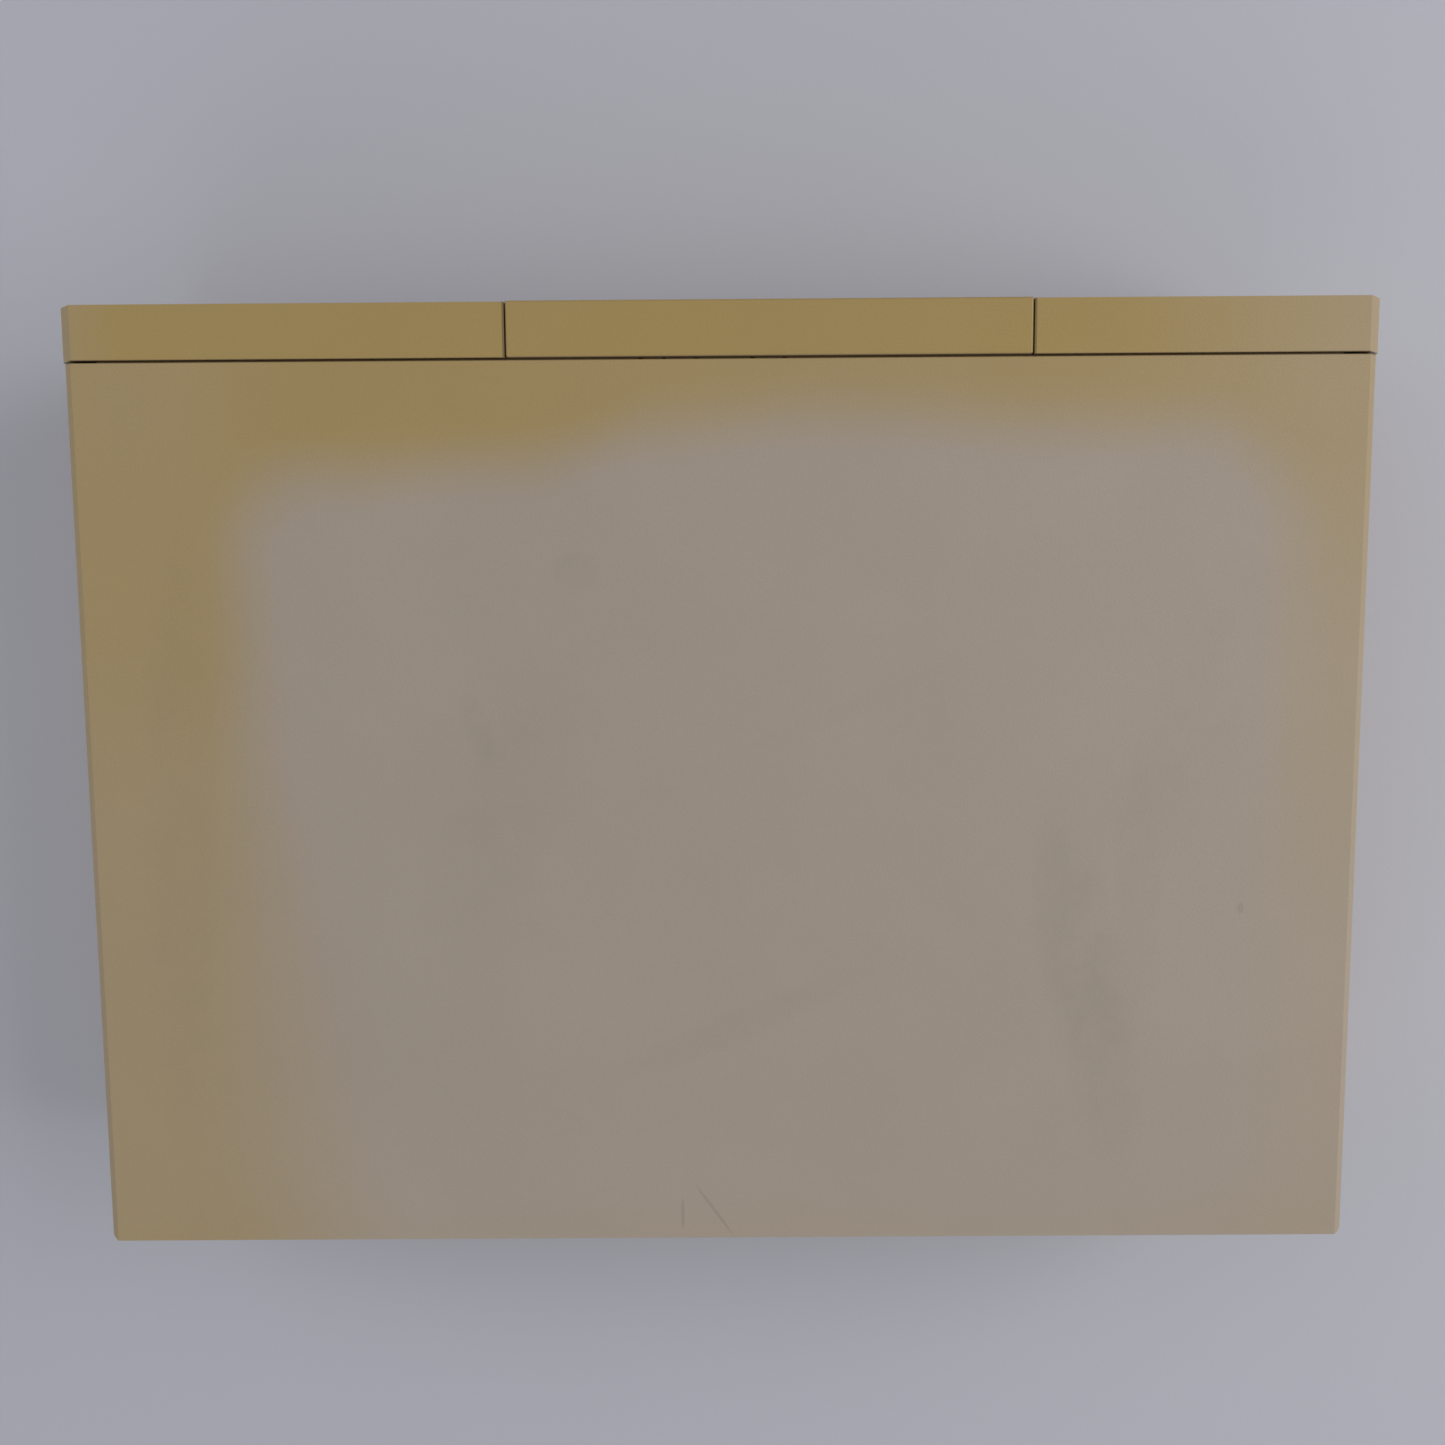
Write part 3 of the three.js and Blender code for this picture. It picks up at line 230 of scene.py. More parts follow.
def circle(radius: float, sides: int = 10) -> np.ndarray:
    """Points round a circle, as a profile for sweep."""
    a = np.linspace(0, 2 * np.pi, sides, endpoint=False)
    return radius * np.stack([np.cos(a), np.sin(a)], -1)


def smooth_path(knots: Sequence[Vec], steps: int = 40) -> np.ndarray:
    """A path that rounds its knots: a Catmull-Rom curve, a cubic between each two knots.

    Args:
        knots: The points to pass through.
        steps: Points on the finished path.

    Returns:
        Array of shape (steps, 3).
    """
    k = np.asarray(knots, float)
    k = np.concatenate([2 * k[:1] - k[1:2], k, 2 * k[-1:] - k[-2:-1]])
    t = np.linspace(0, len(k) - 3 - 1e-9, steps)
    i, f = t.astype(int), (t % 1)[:, None]
    a, b, c, d = k[i], k[i + 1], k[i + 2], k[i + 3]
    return 0.5 * (2 * b + (c - a) * f + (2 * a - 5 * b + 4 * c - d) * f**2 + (3 * b - a - 3 * c + d) * f**3)


def screw_head(radius: float, height: float) -> Surface:
    """A pan head with a cross recess.

    The height falls from the middle as a circle's arc does, and drops by half the height wherever
    the distance from either diameter is small, fading out towards the rim.

    Args:
        radius: Head radius.
        height: Head height.

    Returns:
        The head with its flat underside at z = 0.
    """
    r = np.array([0, 0.12, 0.2, 0.3, 0.42, 0.5, 0.56, 0.7, 0.85, 0.95, 1.0])[:, None]
    a = np.linspace(0, 2 * np.pi, 48, endpoint=False)[None]
    x, y = r * np.cos(a), r * np.sin(a)
    dome = np.sqrt(1 - 0.55 * r**2)
    arm = np.minimum(np.abs(x), np.abs(y))
    recess = np.clip((0.13 - arm) / 0.05, 0, 1) * np.clip((0.56 - r) / 0.08, 0, 1)
    z = height * (dome - 0.5 * recess)
    top = np.stack([radius * x, radius * y, z], -1)
    foot = np.stack([radius * x[-1:], radius * y[-1:], np.zeros_like(x[-1:])], -1)
    under = foot * np.array([0, 0, 1.0])
    return grid(np.concatenate([top, foot, under]), wrap_v=True)


def weld(surface: Surface) -> tuple[np.ndarray, list[list[int]]]:
    """Merges points closer than a hundredth of a micrometre and drops faces with no area.

    Args:
        surface: The surface to tidy.

    Returns:
        Points in metres, and faces of three or four corners.
    """
    keys = np.round(surface.points * 1e4).astype(np.int64)
    _, first, index = np.unique(keys, axis=0, return_index=True, return_inverse=True)
    faces = index.reshape(-1)[surface.faces]
    same = faces == np.roll(faces, -1, axis=1)
    quads = faces[~same.any(1)]
    once = same.sum(1) == 1
    tris = faces[once][~same[once]].reshape(-1, 3)
    cross_q = (quads[:, 0] == quads[:, 2]) | (quads[:, 1] == quads[:, 3])
    cross_t = tris[:, 0] == tris[:, 2] if len(tris) else np.zeros(0, bool)
    return surface.points[first] * MM, quads[~cross_q].tolist() + tris[~cross_t].tolist()


# ---------------------------------------------------------------------------------------------
# Finishes
# ---------------------------------------------------------------------------------------------


class Graph:
    """A material's nodes, with short calls for the ones used here."""

    def __init__(self, name: str) -> None:
        """Starts an empty material with a Principled shader and an output."""
        self.material = bpy.data.materials.new(name)
        self.material.use_nodes = True
        self.nodes = self.material.node_tree.nodes
        self.links = self.material.node_tree.links
        self.nodes.clear()
        self.shader = self.nodes.new("ShaderNodeBsdfPrincipled")
        output = self.nodes.new("ShaderNodeOutputMaterial")
        self.links.new(self.shader.outputs["BSDF"], output.inputs["Surface"])
        self.coords = self.nodes.new("ShaderNodeTexCoord")

    @property
    def place(self) -> Socket:
        """Where a point is on the object, in metres."""
        return self.coords.outputs["Object"]

    def feed(self, socket: Socket, value: object) -> None:
        """Sets a socket to a number or colour, or links another socket to it."""
        if isinstance(value, bpy.types.NodeSocket):
            self.links.new(value, socket)
        elif socket.type == "RGBA" and len(value) == 3:
            socket.default_value = (*value, 1.0)
        else:
            socket.default_value = value

    def math(self, operation: str, a: object, b: object = 0.0, clamp: bool = False) -> Socket:
        """One step of arithmetic on two values."""
        node = self.nodes.new("ShaderNodeMath")
        node.operation, node.use_clamp = operation, clamp
        self.feed(node.inputs[0], a)
        self.feed(node.inputs[1], b)
        return node.outputs[0]

    def times(self, *values: object) -> Socket:
        """The product of several values."""
        total = values[0]
        for value in values[1:]:
            total = self.math("MULTIPLY", total, value)
        return total

    def dot(self, a: Socket, b: object) -> Socket:
        """The dot product of two vectors."""
        node = self.nodes.new("ShaderNodeVectorMath")
        node.operation = "DOT_PRODUCT"
        self.feed(node.inputs[0], a)
        self.feed(node.inputs[1], b)
        return node.outputs["Value"]

    def ramp(self, value: Socket, start: float, end: float, low: float = 0.0, high: float = 1.0) -> Socket:
        """A smooth step: low before start, high after end."""
        node = self.nodes.new("ShaderNodeMapRange")
        node.interpolation_type = "SMOOTHSTEP"
        for name, number in zip(("Value", "From Min", "From Max", "To Min", "To Max"), (value, start, end, low, high)):
            self.feed(node.inputs[name], number)
        return node.outputs["Result"]

    def mix(self, share: object, a: object, b: object, kind: str = "MIX") -> Socket:
        """Two colours blended."""
        node = self.nodes.new("ShaderNodeMix")
        node.data_type, node.blend_type = "RGBA", kind
        self.feed(node.inputs[0], share)
        self.feed(node.inputs[6], a)
        self.feed(node.inputs[7], b)
        return node.outputs[2]

    def mapped(self, offset: Vec = (0, 0, 0), scale: Vec = (1, 1, 1), turn: Vec = (0, 0, 0)) -> Socket:
        """The place on the object, shifted, turned and stretched."""
        node = self.nodes.new("ShaderNodeMapping")
        self.feed(node.inputs["Vector"], self.place)
        node.inputs["Location"].default_value = offset
        node.inputs["Rotation"].default_value = turn
        node.inputs["Scale"].default_value = scale
        return node.outputs["Vector"]

    def noise(self, scale: float, detail: float = 2.0, rough: float = 0.5, vector: Socket | None = None) -> Socket:
        """Soft noise from 0 to 1, with scale in waves per metre."""
        node = self.nodes.new("ShaderNodeTexNoise")
        self.feed(node.inputs["Vector"], vector or self.place)
        node.inputs["Scale"].default_value = scale
        node.inputs["Detail"].default_value = detail
        node.inputs["Roughness"].default_value = rough
        return node.outputs["Fac"]

    def cells(self, scale: float, output: str = "Distance", vector: Socket | None = None) -> Socket:
        """Voronoi cells, with scale in cells per metre."""
        node = self.nodes.new("ShaderNodeTexVoronoi")
        self.feed(node.inputs["Vector"], vector or self.place)
        node.inputs["Scale"].default_value = scale
        return node.outputs[output]

    def axes(self, vector: Socket | None = None) -> tuple[Socket, Socket, Socket]:
        """The three parts of a vector, the place on the object if none is given."""
        node = self.nodes.new("ShaderNodeSeparateXYZ")
        self.feed(node.inputs[0], vector or self.place)
        return node.outputs[0], node.outputs[1], node.outputs[2]

    def bump(self, height: Socket, depth: float, below: Socket | None = None) -> Socket:
        """A normal from a height, with depth in metres."""
        node = self.nodes.new("ShaderNodeBump")
        node.inputs["Strength"].default_value = 1.0
        node.inputs["Distance"].default_value = depth
        self.feed(node.inputs["Height"], height)
        if below is not None:
            self.feed(node.inputs["Normal"], below)
        return node.outputs["Normal"]

    def finish(
        self, colour: object, roughness: object, normal: Socket | None = None, **constants: float
    ) -> bpy.types.Material:
        """Feeds the shader and gives the material.

        Args:
            colour: Base colour, a value or a socket.
            roughness: Roughness, a value or a socket.
            normal: Surface normal, if it is bumped.
            **constants: Other shader sockets by name, with _ for a space.

        Returns:
            The finished material.
        """
        self.feed(self.shader.inputs["Base Color"], colour)
        self.feed(self.shader.inputs["Roughness"], roughness)
        if normal is not None:
            self.feed(self.shader.inputs["Normal"], normal)
        for name, value in constants.items():
            self.feed(self.shader.inputs[name.replace("_", " ")], value)
        return self.material


class Ageing(Enum):
    """How daylight has yellowed a moulding."""

    NONE = "kept in the dark"
    SIDES = "all its outer faces"
    FRONT = "the front, most in the middle"
    COVER = "round the place where a monitor stood"


@dataclass(frozen=True)
class Mark:
    """A handling mark on the cover's roof: an ellipse, in metres.

    Attributes:
        x: Place across the cover.
        y: Place along the cover.
        wide: Half its width, before it is turned.
        long: Half its length, before it is turned.
        turn: Its turn about the vertical, in radians.
        weight: How strongly it shows.
        soft: Whether it is a smear that fades and breaks up, or a crisp scuff.
    """

    x: float
    y: float
    wide: float
    long: float
    turn: float
    weight: float
    soft: bool = True


MARKS = (
    Mark(-0.128, 0.071, 0.014, 0.062, 0.2, 0.36),
    Mark(0.078, 0.012, 0.018, 0.055, -0.35, 0.15),
    Mark(-0.004, 0.087, 0.045, 0.006, 0.4, 0.17),
    Mark(-0.024, -0.018, 0.003, 0.075, -1.16, 0.07),
    Mark(-0.146, 0.04, 0.008, 0.05, 0.05, 0.15),
    Mark(0.05, -0.075, 0.008, 0.006, 0.0, 0.3),
    Mark(0.085, -0.02, 0.005, 0.012, 0.3, 0.3),
    Mark(-0.17, -0.03, 0.02, 0.05, -0.3, 0.16),
    Mark(0.19, 0.02, 0.012, 0.11, -0.03, 0.2),
    Mark(0.004, 0.155, 0.0006, 0.012, 0.62, 0.6, soft=False),
    Mark(0.0154, 0.1565, 0.0006, 0.006, 0.0, 0.6, soft=False),
    Mark(-0.182, 0.045, 0.0012, 0.002, 0.0, 0.5, soft=False),
)


@dataclass(frozen=True)
class MouldedPlastic:
    """Beige case plastic with a fine moulded grain, handling marks, yellowing and painted shade in its joints.

    Attributes:
        name: Material name.
        ageing: Where it has yellowed.
        fresh: Colour where it has kept its own.
        aged: Colour where it is fully yellow.
    """

    name: str
    ageing: Ageing
    fresh: tuple[float, float, float] = (0.546, 0.466, 0.389)
    aged: tuple[float, float, float] = (0.543, 0.381, 0.135)

    def outer(self, g: Graph) -> Socket:
        """1 on faces that look away from the case's middle, 0 on those that look in."""
        middle = g.mapped(offset=(0, 0, -0.056), scale=(1.0, 1.0, 2.2))
        return g.ramp(g.dot(middle, g.coords.outputs["Normal"]), 0.0, 0.02)

    def shaded_patch(self, g: Graph) -> Socket:
        """Distance in metres outside the place where a monitor kept the light off, negative inside.

        It is a rounded rectangle open at the rear: q is how far a point is past the straight part
        of each side, and the distance is |max(q, 0)| + min(max(qx, qy), 0) - corner radius.
        """
        x, y, _ = g.axes()
        drift = g.ramp(g.noise(7.0, 2.0), 0.3, 0.7, -0.0035, 0.0035)
        x, y = g.math("ADD", x, drift), g.math("SUBTRACT", y, drift)
        corner = g.ramp(x, -0.1, 0.1, 0.045, 0.03)
        right = g.ramp(y, -0.07, 0.13, 0.165, 0.151)
        front = g.ramp(x, 0.022, 0.066, -0.1255, -0.1105)
        left_over = g.math("SUBTRACT", -0.1965, x)
        right_over = g.math("SUBTRACT", x, right)
        over_x = g.math("ADD", g.math("MAXIMUM", left_over, right_over), corner)
        over_y = g.math("ADD", g.math("SUBTRACT", front, y), corner)
        out_x, out_y = g.math("MAXIMUM", over_x, 0.0), g.math("MAXIMUM", over_y, 0.0)
        outside = g.math("SQRT", g.math("ADD", g.times(out_x, out_x), g.times(out_y, out_y)))
        inside = g.math("MINIMUM", g.math("MAXIMUM", over_x, over_y), 0.0)
        return g.math("SUBTRACT", g.math("ADD", outside, inside), corner)

    def cover_pattern(self, g: Graph) -> Socket:
        """Yellow outside the shaded patch, deepest in front, paler to the rear and on the left."""
        x, y, _ = g.axes()
        soft = g.ramp(y, -0.05, 0.14, 0.0175, 0.042)
        past = g.math("DIVIDE", self.shaded_patch(g), soft)
        shown = g.ramp(past, -1.0, 1.0)
        near_left = g.math("ADD", g.ramp(y, -0.13, -0.02, 0.6, 0.3), g.ramp(y, -0.02, 0.07, 0.0, -0.16))
        near_right = g.ramp(y, -0.07, 0.04, 0.77, 0.55)
        blend = g.ramp(x, -0.16, 0.12)
        sides = g.math("ADD", g.times(near_right, blend), g.times(near_left, g.math("SUBTRACT", 1.0, blend)))
        rise = g.math("ADD", g.ramp(x, -0.217, -0.13, 0.61, 0.79), g.ramp(x, 0.0, 0.09, 0.0, 0.1))
        front = g.math("ADD", rise, g.ramp(x, 0.135, 0.2, 0.0, -0.15))
        ahead = g.ramp(y, -0.09, -0.128)
        amount = g.math("ADD", g.times(front, ahead), g.times(sides, g.math("SUBTRACT", 1.0, ahead)))
        rear = g.ramp(y, 0.14, 0.168, 0.015, 0.09)
        uneven = g.ramp(g.noise(6.0, 3.0), 0.3, 0.75, -0.02, 0.025)
        return g.math("ADD", g.math("ADD", g.times(shown, amount), rear), uneven, clamp=True)

    def front_pattern(self, g: Graph) -> Socket:
        """Fully yellow in the middle, a little less towards each end."""
        x, _, z = g.axes()
        left = g.ramp(x, -0.12, -0.226, 0.0, 0.37)
        right = g.ramp(x, 0.2, 0.224, 0.0, 0.2)
        low = g.ramp(z, 0.05, 0.0, 0.0, 0.12)
        drop = g.math("ADD", g.math("ADD", left, right), low)
        return g.math("SUBTRACT", g.ramp(g.noise(7.0, 3.0), 0.25, 0.75, 0.94, 1.0), drop, clamp=True)

    def yellowing(self, g: Graph) -> Socket | float:
        """How yellow each point is, from 0 to 1."""
        if self.ageing is Ageing.NONE:
            return g.ramp(g.noise(14.0, 2.0), 0.3, 0.8, 0.0, 0.06)
        _, _, z = g.axes()
        sides = g.times(g.ramp(g.noise(7.0, 3.0), 0.25, 0.75, 0.62, 0.76), g.ramp(z, -0.002, 0.012, 0.1, 1.0))
        if self.ageing is Ageing.COVER:
            upward = g.ramp(g.axes(g.coords.outputs["Normal"])[2], 0.35, 0.85)
            top = self.cover_pattern(g)
            pattern = g.math("ADD", g.times(upward, top), g.times(g.math("SUBTRACT", 1.0, upward), sides))
        elif self.ageing is Ageing.FRONT:
            pattern = self.front_pattern(g)
        else:
            pattern = sides
        return g.times(pattern, self.outer(g))

    def seam_shade(self, g: Graph) -> Socket:
        """Painted shade in the joints: 1 on the facing walls of the joints between bezel, panel, cover and base, 0
        elsewhere.
        """
        x, y, z = g.axes()

        def near(value: Socket, middle: float, half: float) -> Socket:
            """1 within half of a plane, fading out by another third."""
            return g.ramp(g.math("ABSOLUTE", g.math("SUBTRACT", value, middle)), half * 1.7, half)

        across = near(y, -0.14618, 0.00046)
        upright = g.math("MAXIMUM", near(x, -0.1065, 0.00045), near(x, 0.0728, 0.00045))
        upright = g.times(upright, g.math("LESS_THAN", y, -0.1455))
        level = g.times(near(z, 0.056, 0.00042), g.math("GREATER_THAN", y, -0.1462))
        return g.math("MAXIMUM", g.math("MAXIMUM", across, upright), level)

    def marks(self, g: Graph) -> Socket:
        """Faint grey smears, spots, an arc and short scuffs on the cover's roof, from 0 to 1.

        Each is an ellipse: 1 where (x / wide)^2 + (y / long)^2, taken in its own turned axes, is
        small, and fading to 0 a little past 1. The smears are broken up by a soft noise.
        """
        broken = g.ramp(g.noise(70.0, 4.0, 0.6), 0.3, 0.72, 0.25, 1.0)
        total: Socket | None = None
        for mark in MARKS:
            where = g.mapped()
            node = where.node
            node.vector_type = "TEXTURE"
            node.inputs["Location"].default_value = (mark.x, mark.y, 0)
            node.inputs["Rotation"].default_value = (0, 0, mark.turn)
            node.inputs["Scale"].default_value = (mark.wide, mark.long, 1.0)
            px, py, _ = g.axes(where)
            far = g.math("ADD", g.times(px, px), g.times(py, py))
            if mark.soft:
                one = g.times(g.ramp(far, 1.6, 0.1, 0.0, mark.weight), broken)
            else:
                one = g.ramp(far, 1.3, 0.4, 0.0, mark.weight)
            total = one if total is None else g.math("ADD", total, one, clamp=True)
        return g.times(total, g.ramp(g.axes()[2], 0.1075, 0.108))

    def build(self) -> bpy.types.Material:
        """The material."""
        g = Graph(self.name)
        aged = self.yellowing(g)
        colour = g.mix(aged, self.fresh, self.aged)
        cloud = g.ramp(g.noise(16.0, 4.0, 0.6), 0.25, 0.8, 0.975, 1.012)
        speck = g.ramp(g.noise(1500.0, 2.0, 0.6), 0.35, 0.7, 0.97, 1.025)
        shade = g.times(cloud, speck)
        colour = g.mix(1.0, colour, self.grey(g, shade), "MULTIPLY")
        dirt = g.ramp(g.noise(55.0, 6.0, 0.7), 0.6, 0.8, 0.0, 0.1)
        if self.ageing is Ageing.COVER:
            dirt = g.math("ADD", dirt, self.marks(g), clamp=True)
        colour = g.mix(g.times(dirt, 0.5), colour, (0.3, 0.26, 0.22))
        if self.ageing is not Ageing.NONE:
            # Painted shade: the walls of the joints between bezel, panel, cover and base are darkened to a deep brown,
            # as where shade falls in the gaps.
            colour = g.mix(g.times(self.seam_shade(g), 0.8), colour, (0.24, 0.15, 0.06))
        rough = g.ramp(g.noise(35.0, 3.0), 0.3, 0.7, 0.43, 0.48)
        rough = g.math("SUBTRACT", rough, g.times(dirt, 0.12))
        fine = g.bump(g.noise(2300.0, 2.0, 0.55), 0.00006)
        normal = g.bump(g.noise(14.0, 2.0), 0.00012, fine)
        return g.finish(colour, rough, normal, Specular_IOR_Level=0.45)

    @staticmethod
    def grey(g: Graph, value: Socket) -> Socket:
        """A grey of the given value."""
        node = g.nodes.new("ShaderNodeCombineColor")
        for socket in node.inputs:
            g.feed(socket, value)
        return node.outputs[0]


@dataclass(frozen=True)
class PlainPlastic:
    """Coloured moulded plastic, rubber, sleeve or epoxy with grain and wear.

    Attributes:
        name: Material name.
        colour: Base colour.
        rough: Mean roughness.
        grain: Depth of the grain in metres.
        pitch: Grain waves per metre.
        coat: Clear coat weight.
    """

    name: str
    colour: tuple[float, float, float]
    rough: float = 0.45
    grain: float = 0.00004
    pitch: float = 2400.0
    coat: float = 0.0

    def build(self) -> bpy.types.Material:
        """The material."""
        g = Graph(self.name)
        dark = tuple(0.78 * c for c in self.colour)
        pale = tuple(min(1.0, 1.12 * c + 0.006) for c in self.colour)
        colour = g.mix(g.ramp(g.noise(120.0, 4.0, 0.6), 0.25, 0.75), dark, pale)
        dust = g.ramp(g.noise(60.0, 5.0, 0.7), 0.55, 0.85, 0.0, 0.12)
        colour = g.mix(dust, colour, (0.36, 0.34, 0.31))
        rough = g.ramp(g.noise(200.0, 3.0), 0.3, 0.7, self.rough - 0.06, self.rough + 0.08)
        normal = g.bump(g.noise(self.pitch, 3.0, 0.6), self.grain)
        return g.finish(colour, rough, normal, Coat_Weight=self.coat)


class MetalLook(Enum):
    """The surface of a metal piece."""

    ZINC = "spangled plating"
    ROLLED = "fine lines from rolling"
    CAST = "die-cast grain"
    BRIGHT = "polished"


@dataclass(frozen=True)
class Metal:
    """Bare or plated metal.

    Attributes:
        name: Material name.
        colour: Base colour.
        look: Kind of surface.
        rough: Mean roughness.
    """

    name: str
    colour: tuple[float, float, float]
    look: MetalLook
    rough: float = 0.35

    def build(self) -> bpy.types.Material:
        """The material."""
        g = Graph(self.name)
        dark = tuple(0.8 * c for c in self.colour)
        if self.look is MetalLook.ZINC:
            pattern = g.axes(g.cells(170.0, "Color"))[0]
        elif self.look is MetalLook.ROLLED:
            pattern = g.noise(60.0, 3.0, 0.6, g.mapped(scale=(1.0, 30.0, 30.0)))
        elif self.look is MetalLook.CAST:
            pattern = g.noise(900.0, 4.0, 0.7)
        else:
            pattern = g.noise(80.0, 3.0)
        tarnish = g.ramp(g.noise(30.0, 5.0, 0.65), 0.5, 0.8, 0.0, 0.3)
        colour = g.mix(g.times(pattern, 0.55), self.colour, dark)
        colour = g.mix(tarnish, colour, tuple(0.62 * c for c in self.colour))
        rough = g.math("ADD", g.ramp(pattern, 0.2, 0.8, self.rough - 0.07, self.rough + 0.08), g.times(tarnish, 0.3))
        depth = 0.00012 if self.look is MetalLook.CAST else 0.00002
        return g.finish(colour, rough, g.bump(g.noise(1400.0, 3.0, 0.6), depth), Metallic=1.0)


@dataclass(frozen=True)
class CircuitBoard:
    """Green lacquered board: copper lines under the lacquer and tinned pads on a tenth-inch grid.

    Attributes:
        name: Material name.
        lacquer: Colour over bare board.
        track: Colour over copper.
    """

    name: str
    lacquer: tuple[float, float, float] = (0.018, 0.085, 0.035)
    track: tuple[float, float, float] = (0.045, 0.2, 0.075)

    def build(self) -> bpy.types.Material:
        """The material."""
        g = Graph(self.name)
        x, y, _ = g.axes()
        pitch = 0.00127

        def lines(value: Socket) -> Socket:
            """1 on a line every pitch, 0 between."""
            part = g.math("FRACT", g.math("DIVIDE", value, pitch))
            return g.ramp(g.math("ABSOLUTE", g.math("SUBTRACT", part, 0.5)), 0.24, 0.17)

        zone = g.axes(g.cells(70.0, "Color"))[0]
        lengthwise = g.math("GREATER_THAN", zone, 0.5)
        bus = g.math("LESS_THAN", g.math("ABSOLUTE", g.math("SUBTRACT", zone, 0.5)), 0.34)
        tracks = g.math(
            "ADD",
            g.times(lengthwise, lines(x)),
            g.times(g.math("SUBTRACT", 1.0, lengthwise), lines(y)),
        )
        tracks = g.times(tracks, bus)
        colour = g.mix(tracks, self.lacquer, self.track)

        def centre(value: Socket) -> Socket:
            """Distance from the nearest grid line, in metres."""
            part = g.math("FRACT", g.math("DIVIDE", value, 2 * pitch))
            return g.times(g.math("SUBTRACT", part, 0.5), 2 * pitch)

        dx, dy = centre(x), centre(y)
        far = g.math("SQRT", g.math("ADD", g.times(dx, dx), g.times(dy, dy)))
        some = g.math("GREATER_THAN", g.axes(g.cells(140.0, "Color"))[1], 0.62)
        pads = g.times(g.ramp(far, 0.00062, 0.0005), some)
        colour = g.mix(pads, colour, (0.62, 0.6, 0.55))
        rough = g.ramp(g.noise(90.0, 3.0), 0.3, 0.7, 0.26, 0.4)
        height = g.math("ADD", tracks, g.times(pads, 1.6))
        g.links.new(pads, g.shader.inputs["Metallic"])
        return g.finish(colour, rough, g.bump(height, 0.00006))


@dataclass(frozen=True)
class RibbonSkin:
    """Grey ribbon insulation with a red stripe along one edge.

    Attributes:
        name: Material name.
        stripe_x: Where the stripe's inner side is, in metres.
    """

    name: str
    stripe_x: float

    def build(self) -> bpy.types.Material:
        """The material."""
        g = Graph(self.name)
        x, _, _ = g.axes()
        grey = g.mix(g.noise(80.0, 3.0), (0.3, 0.3, 0.3), (0.4, 0.4, 0.39))
        red = g.math("GREATER_THAN", x, self.stripe_x)
        colour = g.mix(red, grey, (0.42, 0.03, 0.025))
        return g.finish(colour, g.ramp(g.noise(60.0, 2.0), 0.3, 0.7, 0.42, 0.55), g.bump(g.noise(900.0, 2.0), 0.00003))


@dataclass(frozen=True)
class Lens:
    """A coloured lamp lens with fine ridges; it gives no light.

    Attributes:
        name: Material name.
        colour: Lens colour.
    """

    name: str
    colour: tuple[float, float, float]

    def build(self) -> bpy.types.Material:
        """The material."""
        g = Graph(self.name)
        ridges = g.noise(700.0, 1.0, 0.4, g.mapped(scale=(1.0, 0.2, 0.2)))
        colour = g.mix(ridges, self.colour, tuple(0.5 * c for c in self.colour))
        return g.finish(colour, g.ramp(ridges, 0.2, 0.8, 0.12, 0.25), g.bump(ridges, 0.0001), Coat_Weight=0.4)


